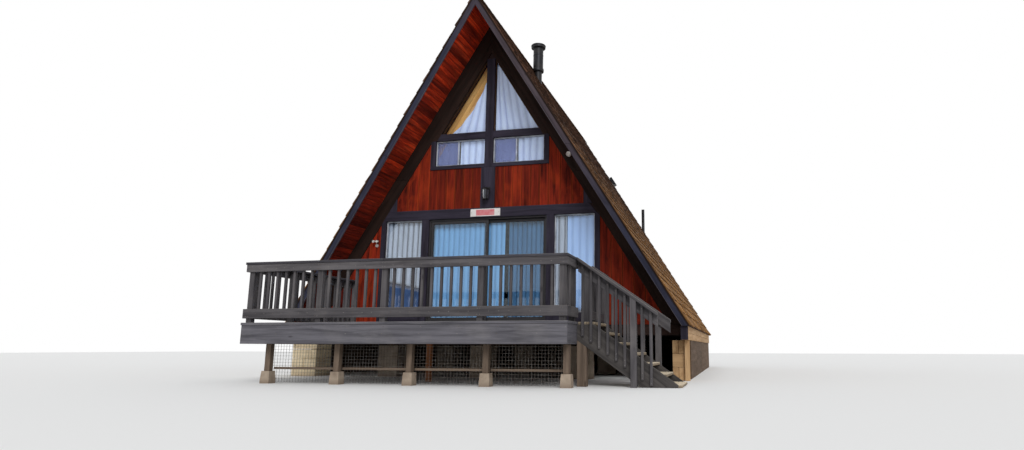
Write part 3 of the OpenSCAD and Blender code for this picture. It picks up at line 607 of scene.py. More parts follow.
for z0, z1 in (FACE, FOOT):
    rail.append(plank((DECK_LEFT, DECK_FRONT, z0), (DECK_RIGHT, post_y, z1)))
    rail += [plank((x, y0, z0), (x + PLANK, y1, z1), "y")
             for x, y0, y1 in ((DECK_LEFT, post_y, 0), (right_in, post_y, STAIR_FRONT),
                               (right_in, STAIR_REAR, 0))]
cap_y, cap_end = DECK_FRONT - CAP_LAP, DECK_RIGHT + CAP_LAP
side_y = cap_y + CAP_WIDE + OPEN_JOINT
caps = [plank((x0, cap_y, cap_foot), (x1, cap_y + CAP_WIDE, RAIL_TOP))
        for x0, x1 in ((DECK_LEFT - CAP_LAP, CAP_SEAM - OPEN_JOINT), (CAP_SEAM + OPEN_JOINT, cap_end))]
caps += [plank((x, y0, cap_foot), (x + CAP_WIDE, y1, RAIL_TOP), "y")
         for x, y0, y1 in ((DECK_LEFT - CAP_LAP, side_y, 0), (cap_end - CAP_WIDE, side_y, STAIR_FRONT),
                           (cap_end - CAP_WIDE, STAIR_REAR, 0))]
posts = [(x - POST / 2, post_y) for x in POST_SPOTS] + [(left_in, y - POST / 2) for y in LEFT_SPOTS[1:]]
posts += [(right_in - POST, y - POST / 2) for y in (NEAR_Y, FAR_Y, WALL_Y)]
rail += [plank((x, y, DECK_TOP), (x + POST, y + POST, cap_foot), "z") for x, y in posts]
lay("guard_rail", rail, rail_timber, 22, "timber_grey", "rail_front", "rail_sides", "rail_posts")
# The cap's darker tones are painted shade.
cap_timber_painted_shade = timber("rail cap timber with painted shade", [(74, 72, 78), (42, 40, 44), (122, 118, 116)], 0.7)
lay("rail_caps", caps, cap_timber_painted_shade, 23, "timber_grey")


def bays(*spots):
    """Places of the balusters between each pair of posts."""
    found = []
    for a, b in zip(spots, spots[1:]):
        count = round(abs(b - a) / BALUSTER_STEP)
        found += [a + (b - a) * k / count for k in range(1, count)]
    return found


half = BALUSTER / 2
spots = [(x, post_y + half, 0) for x in bays(*POST_SPOTS)]
spots += [(left_in + half, y, 0) for y in bays(*LEFT_SPOTS)]
spots += [(right_in - half, y, 0) for y in bays(CORNER_Y, NEAR_Y) + bays(FAR_Y, WALL_Y)]
template = build_boards("baluster", [plank((-half, -half, FOOT[0] + 0.014), (half, half, cap_foot), "z")],
                        rail_timber, 0, 0.003)
settle(set_pieces("balusters", template, spots, rail_timber, 41), "timber_grey")
spots = [(x, DECK_FRONT, z) for x in bays(*POST_SPOTS) for z in (FOOT[0] + 0.075, FACE[0] + 0.05)]
spots += [(x + dx, DECK_FRONT, z) for x in POST_SPOTS for dx in (-0.02, 0.02)
          for z in (FOOT[0] + 0.03, FOOT[1] - 0.03, FACE[0] + 0.03, FACE[1] - 0.03)]
nails("rail_nails", spots, 7)

# Side stair: closed stringers cut from wide planks, open treads with worn bright tops, and on
# each side a sloping cap and board carried by balusters that lap the stringer's outer face.
downhill = (math.cos(stair_angle), 0, -math.sin(stair_angle))
TOE_CUT, HEAD_CUT, TREAD_WIDE, TREAD_GAP = 0.06, 0.26, 0.262, 0.003
outline = [(DECK_RIGHT, rim_head), (NOSE_X - (rim_head - string_head) / fall, rim_head),
           (NOSE_X + string_head / fall - TOE_CUT, TOE_CUT * fall),
           (NOSE_X + string_head / fall - TOE_CUT, 0),
           (NOSE_X + (string_head - string_drop) / fall, 0),
           (DECK_RIGHT, string_head - string_drop + HEAD_CUT * fall)]
stringer_timber = timber("stringer timber", [(74, 70, 68), (38, 36, 36), (104, 100, 96)], 0.5)
stair = [flat(outline, y, PLANK, downhill) for y in (STAIR_Y0, STAIR_Y1 - PLANK)]
lay("stair_stringers", stair, stringer_timber, 51, "timber_dark", "stringers")

tread_timber = timber("worn tread", [(150, 135, 115), (92, 80, 68), (222, 206, 180)], 1.0)
treads = []
for k in range(7):
    front, z = NOSE_X + k * GOING, DECK_TOP - k * RISE
    back = front - TREAD_WIDE if k else DECK_RIGHT + 0.008
    middle = (back + front) / 2
    treads += [plank((x0, STAIR_Y0 + PLANK, z - PLANK), (x1, STAIR_Y1 - PLANK, z), "y")
               for x0, x1 in ((back, middle - TREAD_GAP), (middle + TREAD_GAP, front))]
lay("stair_treads", treads, tread_timber, 52, "timber_tan", "treads", edge=0.005)
HAND_WIDE, HAND_FACE, HAND_IN, HAND_UP, HAND_STEP = 0.14, 0.132, POST + CAP_LAP / 2, 0.78, 0.125
LEG_UP, LEG_LOW = 0.12, 0.03
thick = PLANK / math.cos(stair_angle)
deep = thick + HAND_FACE / math.cos(stair_angle)


def hand_height(x):
    return DECK_TOP + HAND_UP - (x - NOSE_X) * fall


def hand_rail(name, length, x_post, outer_y, inward, replaced, seed):
    """The cap, its board, the post and the balusters of one side of the stair."""
    x0, x1 = DECK_RIGHT + CAP_LAP, DECK_RIGHT + length
    boards, pins = [], []
    for near, wide, upper, lower in ((outer_y - inward * HAND_IN, HAND_WIDE, 0, thick),
                                     (outer_y, PLANK, thick, deep)):
        ring = [(x, hand_height(x) - drop)
                for x, drop in ((x0, upper), (x1, upper), (x1, lower), (x0, lower))]
        boards.append(flat(ring, near, inward * wide, downhill))

    def leg(x, size, foot):
        a, b = x - size / 2, x + size / 2
        ring = [(a, foot), (b, foot), (b, hand_height(b) - thick), (a, hand_height(a) - thick)]
        boards.append(flat(ring, outer_y - inward * size, inward * size, PLUMB))

    leg(x_post, POST, 0)
    x = DECK_RIGHT + POST
    while x < x1 - BALUSTER * 1.5:
        if abs(x - x_post) > POST - 0.01:
            foot = max(hand_height(x) - HAND_UP - STRING_BELOW - string_drop + LEG_UP, LEG_LOW)
            leg(x, BALUSTER, foot)
            pins += [(x, outer_y - inward * BALUSTER, z)
                     for z in (foot + 0.03, foot + 0.1, hand_height(x) - 0.1)]
        x += HAND_STEP
    lay(name, boards, rail_timber, seed, "timber_grey", *replaced, edge=0.003)
    nails(name + "_nails", pins, seed, (0, 0, 0 if inward > 0 else math.pi))


hand_rail("stair_hand_rail", 1.19, DECK_RIGHT + 0.845, STAIR_Y0, 1, ["stair_rail_front", "stair_posts"], 53)
hand_rail("stair_rear_rail", 1.27, DECK_RIGHT + 1.07, STAIR_Y1, -1, ["stair_rail_rear"], 54)

# Wire skirt under the deck: welded square mesh stapled behind the posts and to one level
# batten, dull zinc with a little rust, hung to keep animals out.
CELL, WIRE = 0.05, 0.0032
wires, given = new_steps("welded mesh", Start="Vector", Width="Float", Height="Float", Cell="Float",
                         Wire="Float", Finish="Material")
wide, tall, cell, wire = (given[key] for key in ("Width", "Height", "Cell", "Wire"))
both = node(wires, "GeometryNodeJoinGeometry")
for length, step, size, ahead in (
        (wide, {"x": cell}, (wire, wire, tall), {"z": times(wires, tall, 0.5)}),
        (tall, {"z": cell}, (wide, wire, wire), {"x": times(wires, wide, 0.5), "y": wire})):
    count = plus(wires, maths(wires, "ROUND", maths(wires, "DIVIDE", length, cell)), 1.0)
    line = node(wires, "GeometryNodeMeshLine", {"mode": "OFFSET"}, Count=count, Start_Location=given["Start"],
                Offset=joined(wires, **step)).outputs[0]
    rod = node(wires, "GeometryNodeMeshCube", Size=joined(wires, *size)).outputs[0]
    rod = node(wires, "GeometryNodeTransform", Geometry=rod, Translation=joined(wires, **ahead)).outputs[0]
    wires.links.new(set_on(wires, line, rod), both.inputs[0])
rods = node(wires, "GeometryNodeRealizeInstances", Geometry=both.outputs[0]).outputs[0]
finished(wires, rods, given["Finish"])
low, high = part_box("mesh_skirt")
mesh = grow("wire_skirt", wires, Start=(low.x, low.y + WIRE, low.z), Width=high.x - low.x,
            Height=high.z - low.z, Cell=CELL, Wire=WIRE, Finish=galvanised)
settle(mesh, "wire", "mesh_skirt")
batten = [plank((a + POST_SIDE / 2, low.y + 0.002, 0.215), (b - POST_SIDE / 2, low.y + 0.02, 0.25))
          for a, b in zip(PIER_SPOTS, PIER_SPOTS[1:])]
lay("wire_batten", batten, dull_timber, 61, "timber_grey", edge=0.002)

# House base: three girders on the piers, the floor platform, and under each roof foot a long
# beam of bare tan timber carried at the front corner on timbers laid crosswise in a stack.
tan_timber = timber("tan timber", [(186, 152, 112), (132, 96, 62), (206, 178, 140)], 0.4, 0.7)
paint_node(timber("girder timber", [(120, 92, 66), (76, 54, 38), (140, 116, 90)], 0.2, grain="y"), "girders")
paint_node(timber("platform timber", [(54, 36, 30), (30, 20, 18), (84, 62, 50)], 0.2, grain="x"), "floor")
beam_low, beam_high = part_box("side_beams")
BEAM_WIDE, BEAM_PLY, BEAM_JOINT, END_BOARD = 0.13, 0.115, 3.2, 0.02
beam_in, base = beam_high.x - BEAM_WIDE, []
for side in (-1, 1):
    a, b = sorted((side * beam_in, side * beam_high.x))
    base += [plank((a, y0, z0), (b, y1, z1), "y")
             for y0, y1 in ((beam_low.y + END_BOARD + 0.001, BEAM_JOINT), (BEAM_JOINT + 0.004, beam_high.y))
             for z0, z1 in ((beam_low.z, beam_low.z + BEAM_PLY),
                            (beam_low.z + BEAM_PLY + 0.003, beam_high.z))]
lay("foot_beams", base, tan_timber, 71, "timber_tan", "side_beams", edge=0.005)
# Painted shade: a dark board over the front end of each foot beam stands for the shade on it.
beam_end_shade_boards = [plank((x, beam_low.y, beam_low.z + 0.002),
                   (x + BEAM_WIDE - 0.004, beam_low.y + END_BOARD, beam_high.z - 0.002), "z")
             for x in (0.002 - beam_high.x, beam_in + 0.002)]
low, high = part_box("crib_right")
STACK_WIDE, STACK_FRONT, STACK_BACK, STACK_IN, STACK_POST = 0.21, -0.26, 0.06, 0.09, 0.084
CROSS_WIDE, CROSS_STEP, LONG_WIDE, LONG_STEP = 0.157, 0.163, 0.103, 0.107
stack_in, stack_out, step = high.x - STACK_IN - STACK_WIDE, high.x - STACK_IN, high.z / 3
stack = []
for i in range(3):
    z0, z1 = i * step, (i + 1) * step - 0.004
    if i == 1:
        stack += [plank((stack_in, y, z0), (stack_out, y + CROSS_WIDE, z1))
                  for y in (STACK_FRONT, STACK_FRONT + CROSS_STEP)]
    else:
        stack += [plank((x, STACK_FRONT, z0), (x + LONG_WIDE, STACK_BACK, z1), "y")
                  for x in (stack_in, stack_in + LONG_STEP)]
stack.append(plank((high.x - STACK_POST, low.y, 0), (high.x, low.y + STACK_POST, high.z), "z"))
lay("timber_stack", stack, tan_timber, 72, "timber_tan", "crib_right", edge=0.006)

# Base panels: plywood sheets nailed up between ground and beams on three sides, so that the
# space under the floor is closed and dark; two short posts a side carry the beam behind them.
# The plywood is weathered, and its colour is darkened further as painted shade.
plywood_and_painted_shade = timber("weathered plywood", [(92, 70, 50), (56, 42, 32), (124, 100, 76)], 0.3, 0.6, 0.3)
SHEET, SHEET_START, REAR_FACE, SHEET_GAP, SHORT_POST, SHEET_HIGH = 0.018, 0.26, 8.1, 0.004, 0.09, 0.79
sheet_out = beam_high.x - SHEET
sheets = []
for side in (-1, 1):
    a, b = sorted((side * (sheet_out - SHEET), side * sheet_out))
    sheets += [plank((a, SHEET_START + y0, 0), (b, SHEET_START + y1, beam_low.z), "y")
               for y0, y1 in seams(REAR_FACE - SHEET_START, 4, SHEET_GAP)]
    a, b = sorted((side * beam_in, side * (beam_in + SHORT_POST)))
    sheets += [plank((a, y, 0), (b, y + SHORT_POST, beam_low.z), "z")
               for y in (REAR_FACE / 2, REAR_FACE - 0.2)]
sheets += [plank((x0 - sheet_out, REAR_FACE, 0), (x1 - sheet_out, REAR_FACE + SHEET, SHEET_HIGH))
           for x0, x1 in seams(2 * sheet_out, 4, SHEET_GAP)]
lay("base_panels", sheets, plywood_and_painted_shade, 73, "timber_tan", "skirt_panels", edge=0.002)

# Gable walls: upright boards of rough-sawn pine, nailed edge to edge over a dark felt and
# stained red-brown long ago, with orange streaks where the stain has worn thin.
siding_red = timber("red-brown boards", [(128, 35, 15), (48, 10, 7), (176, 62, 20)], 0.9, 1.0, 0.7, 0.003,
                    rim=(186, 80, 28), rimming=0.25, sheen=0.12)
felt, tree, shader, place = new_finish("dark felt", Roughness=0.9)
fill(tree, shader, Base_Color=mixed(tree, noise(tree, place, 120.0), tint(22, 10, 8), tint(48, 20, 14)))
paint_node(felt, "wall_left", "wall_right", "wall_over", "rear_wall")
RIDGE, HALF_ANGLE, EAVE_Z, ROOF_THICK = 7.365, math.radians(31.6), 0.925, 0.095
sine, cosine, slope = math.sin(HALF_ANGLE), math.cos(HALF_ANGLE), 1 / math.tan(HALF_ANGLE)
SOFFIT = RIDGE - ROOF_THICK / sine
RAKE_IN, RAKE_LOW = (SOFFIT - wide / sine for wide in (0.35, 0.26))
FLOOR_TOP, HEAD, HEADER_TOP, SILL_FOOT, REAR_SILL = 0.97, 3.066, 3.261, 4.088, 1.165
BOARD_PITCH, BOARD_GAP, BOARD_OUT, REAR_HALF = 0.2, 0.008, 0.018, 3.3
BOTH_SIDES = ((-1, "left"), (1, "right"))


def wall_boards(name, x0, x1, z0, z1, y, seed, apex=RAKE_LOW):
    """A run of upright boards between two levels, cut under the raking trim."""
    count = max(1, round((x1 - x0) / BOARD_PITCH))
    wide = (x1 - x0) / count
    face = plank((0, y, z0), (wide - BOARD_GAP, y + BOARD_OUT, z1), "z")
    template = build_boards(name + "_board", [face], siding_red, 0)
    spots = [(x0 + i * wide, 0, 0) for i in range(count)]
    settle(set_pieces(name, template, spots, siding_red, seed, apex=apex, slope=slope), "siding_red")


for side, tag in BOTH_SIDES:
    for run, a, b, z0, z1 in (("over_door", 0.147, 1.25, HEADER_TOP, SILL_FOOT),
                              ("over_corner", 1.25, 1.945, HEADER_TOP, 4.689),
                              ("corner", 2.261, 3.53, FLOOR_TOP, HEAD)):
        x0, x1 = sorted((side * a, side * b))
        wall_boards(f"boards_{run}_{tag}", x0, x1, z0, z1, -BOARD_OUT, 80 + len(run) + side)
rear_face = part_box("rear_wall")[1].y
wall_boards("boards_rear", -REAR_HALF, REAR_HALF, REAR_SILL, 6.6, rear_face, 91, RAKE_IN)

# Trims: raking boards along each slope, wider beside the triangles, the king post, header, sill
# boards and window surrounds: flat planks, stained near black, butted and nailed over the walls.
dark_trim = timber("brown-black trim", [(40, 27, 22), (20, 14, 12), (70, 52, 44)], 0.5, 0.8, 0.3, sheen=0.12)
slate_trim = timber("slate-black trim", [(50, 46, 58), (28, 25, 32), (80, 74, 84)], 0.5, 0.8, 0.3, sheen=0.12)
TRIM, KING, KING_WIDE, RAKE_SEAM, HEADER_SEAM, TRIM_X = 0.04, 0.086, 0.147, 3.9, -0.3, 2.3
SLIDER_X, SLIDER_Z0, SLIDER_Z1, SLIDER_TRIM, TRI_Z = 1.145, 4.163, 4.689, 0.105, 4.83
DOOR_HALF, SIDE_X0, SIDE_X1, SIDE_Z, SIDE_TRIM, CORNER_X = 1.22, 1.372, 2.161, 1.2, 0.10, 1.945
trims, slate = [], []


def under_slope(points, apex):
    """Cuts an outline in X and Z where it passes the slope, on either side of the middle."""
    kept = []
    for (xa, za), (xb, zb) in zip(points, points[1:] + points[:1]):
        da, db = apex - abs(xa) * slope - za, apex - abs(xb) * slope - zb
        if da >= 0:
            kept.append((xa, za))
        if da * db < 0:
            k = da / (da - db)
            kept.append((xa + (xb - xa) * k, za + (zb - za) * k))
    return kept


def slope_point(apex, z, side):
    return side * (apex - z) / slope


def down_slope(side):
    return side * sine, 0, -cosine


def trim(x0, x1, z0, z1, along, apex=RAKE_LOW, y=-TRIM, boards=slate):
    ring = under_slope(square(*sorted((x0, x1)), z0, z1), apex)
    boards.append(flat(ring, y, TRIM, along))


def sloped_ring(side, outer, inner, z0, z1):
    """An outline between two parallel slopes, level at its foot and, below the ridge, at its head."""
    head = [(0 if z1 is None else slope_point(apex, z1, side), apex if z1 is None else z1)
            for apex in (outer, inner)]
    return [(slope_point(outer, z0, side), z0), *head, (slope_point(inner, z0, side), z0)]


for side in (-1, 1):
    for outer, inner, z0, z1, y in (
            (SOFFIT, RAKE_LOW, FLOOR_TOP, RAKE_SEAM, -TRIM),
            (SOFFIT, RAKE_LOW, RAKE_SEAM + 0.003, None, -TRIM),
            (RAKE_LOW - 0.003, RAKE_IN, SLIDER_Z1, None, -TRIM),
            (SOFFIT, RAKE_IN, FLOOR_TOP, None, rear_face)):
        trims.append(flat(sloped_ring(side, outer, inner, z0, z1), y, TRIM, down_slope(side)))
    for x0, x1, z0, z1, along, apex in (
            (KING, SLIDER_X + SLIDER_TRIM, SILL_FOOT, SLIDER_Z0, LEVEL, RAKE_LOW),
            (SLIDER_X, SLIDER_X + SLIDER_TRIM, SLIDER_Z0, SLIDER_Z1, PLUMB, RAKE_LOW),
            (DOOR_HALF, SIDE_X0, FLOOR_TOP, HEAD, PLUMB, RAKE_LOW),
            (SIDE_X1, SIDE_X1 + SIDE_TRIM, FLOOR_TOP, HEAD, PLUMB, RAKE_LOW),
            (SIDE_X0, SIDE_X1, FLOOR_TOP, SIDE_Z, LEVEL, RAKE_LOW),
            (KING, 1.3, SLIDER_Z1, TRI_Z, LEVEL, RAKE_IN),
            (CORNER_X, 2.35, HEADER_TOP, HEADER_TOP + 0.3, PLUMB, RAKE_LOW)):
        trim(side * x0, side * x1, z0, z1, along, apex)
trim(-KING, KING, SILL_FOOT, RAKE_IN, PLUMB, RAKE_IN)
trim(-KING_WIDE, KING_WIDE, HEADER_TOP, SILL_FOOT - 0.002, PLUMB)
trim(-TRIM_X, HEADER_SEAM, HEAD, HEADER_TOP, LEVEL)
trim(HEADER_SEAM + 0.003, TRIM_X, HEAD, HEADER_TOP, LEVEL)
trim(-REAR_HALF, REAR_HALF, FLOOR_TOP, REAR_SILL, LEVEL, RAKE_IN, rear_face, trims)
lay("rake_boards", trims, dark_trim, 101, "timber_dark", "gable_trim", edge=0.003)
lay("window_boards", slate, slate_trim, 102, "timber_dark", edge=0.003)
# The dark boards on the beam ends are painted shade.
lay("beam_end_boards", beam_end_shade_boards, slate_trim, 110, "timber_dark", edge=0.003)


# Window frames: slim milled aluminium gone dull, mitred, with sliding sashes under the transom
# and wooden beads in the triangles; the panes are clear float glass with a faint blue cast.
def worn_metal(name, body, dull, metallic, rough):
    made, tree, shader, place = new_finish(name, Metallic=metallic)
    cloud = noise(tree, place, 6.0, 6.0)
    fill(tree, shader, noise(tree, place, 150.0, 2.0), 0.0006, 0.5,
         Base_Color=mixed(tree, spread(tree, cloud, 0.35, 0.7), tint(*body), tint(*dull)),
         Roughness=spread(tree, cloud, 0.3, 0.7, rough, min(1.0, rough + 0.25)))
    return made


def inset(points, wide):
    """An outline with straight sides drawn in by the same width on every side."""
    points = [Vector(p) for p in points]
    middle = sum(points, Vector((0, 0))) / len(points)
    sides = []
    for a, b in zip(points, points[1:] + points[:1]):
        way = (b - a).normalized()
        inward = Vector((-way.y, way.x))
        sides.append((a + inward * math.copysign(wide, inward.dot(middle - a)), way))
    return [p + u * ((q - p).cross(v) / u.cross(v))
            for (p, u), (q, v) in zip(sides[-1:] + sides[:-1], sides)]


def mitred(points, wide, y, deep):
    """Boards with mitred corners all round the inside of an outline in X and Z."""
    ring, pairs = [], list(zip(points, inset(points, wide)))
    for (a, inner_a), (b, inner_b) in zip(pairs, pairs[1:] + pairs[:1]):
        way = (Vector(b) - Vector(a)).normalized()
        ring.append(flat((a, b, inner_b, inner_a), y, deep, (way.x, 0, way.y)))
    return ring


FRAME, BEAD, FRAME_Y, FRAME_DEEP, GLASS, GLASS_Y, REBATE = 0.020, 0.014, 0.012, 0.05, 0.008, 0.033, 0.003
MEET_LEFT = 0.055
frames, beads, panes = [], [], []
for side in (-1, 1):
    triangle = [(side * KING, TRI_Z), (slope_point(RAKE_IN, TRI_Z, side), TRI_Z),
                (side * KING, RAKE_IN - KING * slope)]
    tall = square(*sorted((side * SIDE_X0, side * SIDE_X1)), SIDE_Z, HEAD)
    middle = side * (KING + SLIDER_X) / 2 - MEET_LEFT
    slider = square(*sorted((side * KING, side * SLIDER_X)), SLIDER_Z0, SLIDER_Z1)
    beads += mitred(triangle, BEAD, FRAME_Y, FRAME_DEEP)
    frames += mitred(tall, FRAME, FRAME_Y, FRAME_DEEP) + mitred(slider, FRAME, FRAME_Y, FRAME_DEEP)
    frames.append(plank((middle - FRAME / 2, FRAME_Y + 0.006, SLIDER_Z0 + FRAME),
                        (middle + FRAME / 2, FRAME_Y + FRAME_DEEP, SLIDER_Z1 - FRAME), "z"))
    outlines = [inset(triangle, BEAD - REBATE), inset(tall, FRAME - REBATE)]
    outlines += [inset(square(*sorted((middle, side * edge)), SLIDER_Z0, SLIDER_Z1), FRAME - REBATE)
                 for edge in (KING, SLIDER_X)]
    panes += [flat(outline, GLASS_Y, GLASS, PLUMB) for outline in outlines]
aluminium = worn_metal("dull aluminium", (196, 200, 208), (136, 140, 150), 0.2, 0.5)
lay("sash_frames", frames, aluminium, 103, "frame_light", "window_frames", edge=0.001)
bead_wood = timber("triangle beads", [(84, 56, 34), (44, 30, 22), (120, 86, 54)], 0.4)
lay("triangle_beads", beads, bead_wood, 104, "timber_tan", edge=0.001)


def pane(name, colour):
    """Clear glass that lets light through to what stands behind it."""
    made, tree, shader, place = new_finish(name, Base_Color=(*colour, 1), Roughness=0.03, IOR=1.52,
                                           Transmission_Weight=1.0)
    fill(tree, shader, noise(tree, place, 1.6, 1.0), 0.01, 0.15)
    open_way = node(tree, "ShaderNodeBsdfTransparent", Color=(*[0.3 + 0.7 * c for c in colour], 1))
    ray = node(tree, "ShaderNodeLightPath").outputs
    dim = maths(tree, "MAXIMUM", ray["Is Shadow Ray"], ray["Is Diffuse Ray"])
    both = node(tree, "ShaderNodeMixShader", i0=dim, i1=shader.outputs[0], i2=open_way.outputs[0])
    out = next(n for n in tree.nodes if n.type == "OUTPUT_MATERIAL")
    tree.links.new(both.outputs[0], out.inputs["Surface"])
    return made


lay("window_panes", panes, pane("clear glass", (0.90, 0.95, 1.0)), 105, "glazing", "window_glass", edge=0)

# Patio door: dark bronze aluminium, one fixed panel on the left and one sliding behind it,
# slim stiles that meet a little left of the middle, and a narrow pull handle.
bronze = worn_metal("dark bronze metal", (26, 24, 27), (42, 39, 41), 0.1, 0.5)
# The strong blue tint of the door glass is a painted sky reflection.
door_pane_painted_reflection = pane("door glass with painted sky reflection", (0.52, 0.76, 0.93))
JAMB, STILE, TOP_RAIL, KICK, MEET, DOOR_GAP, SILL = 0.034, 0.046, 0.058, 0.110, -0.022, 0.007, 0.048
DOOR_IN, DOOR_HEAD, DOOR_FOOT = DOOR_HALF - JAMB, HEAD - JAMB, FLOOR_TOP + SILL
PANEL_DEEP, FIXED_Y, MOVING_Y = 0.04, 0.018, 0.065


def door_leaf(x0, x1, y, foot, head):
    """Stiles and rails of one panel round its glass, and the glass."""
    back, low, top = y + PANEL_DEEP, DOOR_FOOT + KICK, DOOR_HEAD - TOP_RAIL
    in_0, in_1 = x0 + STILE, x1 - STILE
    middle = y + (PANEL_DEEP - GLASS) / 2
    return [plank((x0, y, foot), (in_0, back, head), "z"), plank((in_1, y, foot), (x1, back, head), "z"),
            plank((in_0, y, top), (in_1, back, head)), plank((in_0, y, foot), (in_1, back, low))], \
        [plank((in_0, middle, low), (in_1, middle + GLASS, top), "z")]


leaf, sheet = door_leaf(-DOOR_IN, MEET + STILE, FIXED_Y, DOOR_FOOT, DOOR_HEAD)
leaf += [plank((-DOOR_HALF, 0, FLOOR_TOP), (-DOOR_IN, 0.062, HEAD), "z"),
         plank((DOOR_IN, 0, FLOOR_TOP), (DOOR_HALF, 0.13, HEAD), "z"),
         plank((-DOOR_IN, 0, DOOR_HEAD), (DOOR_IN, 0.13, HEAD)),
         plank((-DOOR_IN, 0, FLOOR_TOP), (DOOR_IN, 0.118, DOOR_FOOT))]
lay("door_surround", leaf, bronze, 106, "door_dark", "door_frame", edge=0.0015)
lay("fixed_pane", sheet, door_pane_painted_reflection, 107, "glazing", edge=0)
leaf, sheet = door_leaf(MEET - STILE, DOOR_IN - DOOR_GAP, MOVING_Y,
                        DOOR_FOOT + DOOR_GAP, DOOR_HEAD - DOOR_GAP)
grip_x, grip_y, GRIP_FOOT, GRIP_HEAD = DOOR_IN - DOOR_GAP - STILE / 2, MOVING_Y - 0.04, 1.90, 2.14
leaf.append(plank((grip_x - 0.009, grip_y, GRIP_FOOT), (grip_x + 0.009, grip_y + 0.012, GRIP_HEAD), "z"))
leaf += [plank((grip_x - 0.007, grip_y + 0.012, z), (grip_x + 0.007, MOVING_Y, z + 0.018), "y")
         for z in (GRIP_FOOT + 0.01, GRIP_HEAD - 0.028)]
lay("sliding_leaf", leaf, bronze, 108, "door_dark", "door_panel", edge=0.0015, body="door")
lay("sliding_pane", sheet, door_pane_painted_reflection, 109, "glazing", "door_glass", edge=0, body="door")

# Roof: a board deck with split cedar shakes, nailed in courses from the eaves up, each course
# lapped by the next; the butts are thick and uneven, and both ends follow the leaning front.
PROW_FOOT, PROW_REACH, ROOF_REAR, SHAKE, BARGE, SOFFIT_THICK = -0.55, 0.45, 8.62, 0.030, 0.038, 0.012
LEAN = PROW_REACH / RIDGE
CORE_TOP, CORE_UNDER = RIDGE - SHAKE / sine, SOFFIT + SOFFIT_THICK / sine


def leaning(ring, back):
    return [(x, PROW_FOOT - z * LEAN + back, z) for x, z in ring]


roof_deck = timber("roof deck boards", [(66, 36, 22), (40, 20, 12), (90, 54, 32)], 0.1, 0.7, grain="y")
for side, tag in BOTH_SIDES:
    ring = [(0, CORE_TOP), (slope_point(CORE_TOP, EAVE_Z, side), EAVE_Z),
            (slope_point(CORE_UNDER, EAVE_Z, side), EAVE_Z), (0, CORE_UNDER)]
    back = [(x, ROOF_REAR - BARGE, z) for x, z in ring]
    quads = [(0, 1, 2, 3), (7, 6, 5, 4)] + [(i, i + 4, (i + 1) % 4 + 4, (i + 1) % 4) for i in range(4)]
    core = shaped("roof_deck_" + tag, leaning(ring, BARGE) + back, [q[::-side] for q in quads], roof_deck)
    settle(core, "shingle", "roof_" + tag)


def on_slope(steps, shape, given):
    """Turns along, down and out into places on one slope, cut at the leaning front and rear."""
    along, down, out = (part(steps, here(steps), axis) for axis in "XYZ")
    x = plus(steps, times(steps, down, sine), times(steps, out, cosine))
    z = minus(steps, times(steps, out, sine), times(steps, down, cosine))
    z = plus(steps, z, given["Apex"])
    y = maths(steps, "MAXIMUM", along, leaning_edge(steps, given, z))
    y = maths(steps, "MINIMUM", y, given["Rear"])
    shape = moved(steps, shape, joined(steps, times(steps, x, given["Side"]), y, z))
    right = node(steps, "FunctionNodeCompare", {"data_type": "FLOAT", "operation": "GREATER_THAN"},
                 i0=given["Side"], i1=0.0).outputs[0]
    return node(steps, "GeometryNodeFlipFaces", Mesh=shape, Selection=right).outputs[0]


def grain_down(steps, shape, order="YXZ"):
    """Grain that runs down the slope, or along it."""
    return grained(steps, shape, joined(steps, *(part(steps, here(steps), axis) for axis in order)))


SLOPE_INPUTS = dict(Side="Float", Apex="Float", Front="Float", Lean="Float", Rear="Float", Finish="Material")
courses, given = new_steps("shake courses", Shake="Object", Courses="Int", Across="Int", Exposure="Float",
                           Lap="Float", Thick="Float", Seed="Int", **SLOPE_INPUTS)
points = node(courses, "GeometryNodePoints",
              Count=times(courses, given["Courses"], given["Across"])).outputs[0]
index = node(courses, "GeometryNodeInputIndex").outputs[0]
course = maths(courses, "DIVIDE", plus(courses, index, 0.5), given["Across"])
course = maths(courses, "FLOOR", course)
wide = drawn(courses, "FLOAT", 0.09, 0.24, index, given["Seed"])
summed = node(courses, "GeometryNodeAccumulateField", {"data_type": "FLOAT"}, i0=wide, i1=course).outputs[1]
phase = drawn(courses, "FLOAT", -0.25, 0.0, course, plus(courses, given["Seed"], 1.0))
along = plus(courses, plus(courses, summed, phase), times(courses, wide, 0.5))
uneven = drawn(courses, "FLOAT", -0.014, 0.0, index, plus(courses, given["Seed"], 2.0))
down = times(courses, plus(courses, course, 1.0), given["Exposure"])
points = stored(courses, points, "wide", wide)
points = moved(courses, points, joined(courses, plus(courses, along, -1.05), plus(courses, down, uneven)))
run, fallen = (part(courses, here(courses), axis) for axis in "XY")
edge = leaning_edge(courses, given, minus(courses, given["Apex"], times(courses, fallen, cosine)))
reach = times(courses, named(courses, "wide"), 0.5)
before = maths(courses, "LESS_THAN", plus(courses, run, reach), plus(courses, edge, 0.02))
past = maths(courses, "GREATER_THAN", minus(courses, run, reach), minus(courses, given["Rear"], 0.02))
points = node(courses, "GeometryNodeDeleteGeometry", {"domain": "POINT"}, Geometry=points,
              Selection=maths(courses, "MAXIMUM", before, past)).outputs[0]
shake = node(courses, "GeometryNodeObjectInfo", Object=given["Shake"]).outputs["Geometry"]
size = joined(courses, minus(courses, named(courses, "wide"), 0.006),
              plus(courses, given["Exposure"], given["Lap"]),
              times(courses, given["Thick"], drawn(courses, "FLOAT", 0.62, 1.0, seed=7)))
skew = joined(courses, z=drawn(courses, "FLOAT", -0.012, 0.012, seed=8))
laid = set_on(courses, points, shake, Rotation=skew, Scale=size)
laid = grain_down(courses, realised(courses, laid, given["Seed"]))
finished(courses, on_slope(courses, laid, given), given["Finish"])

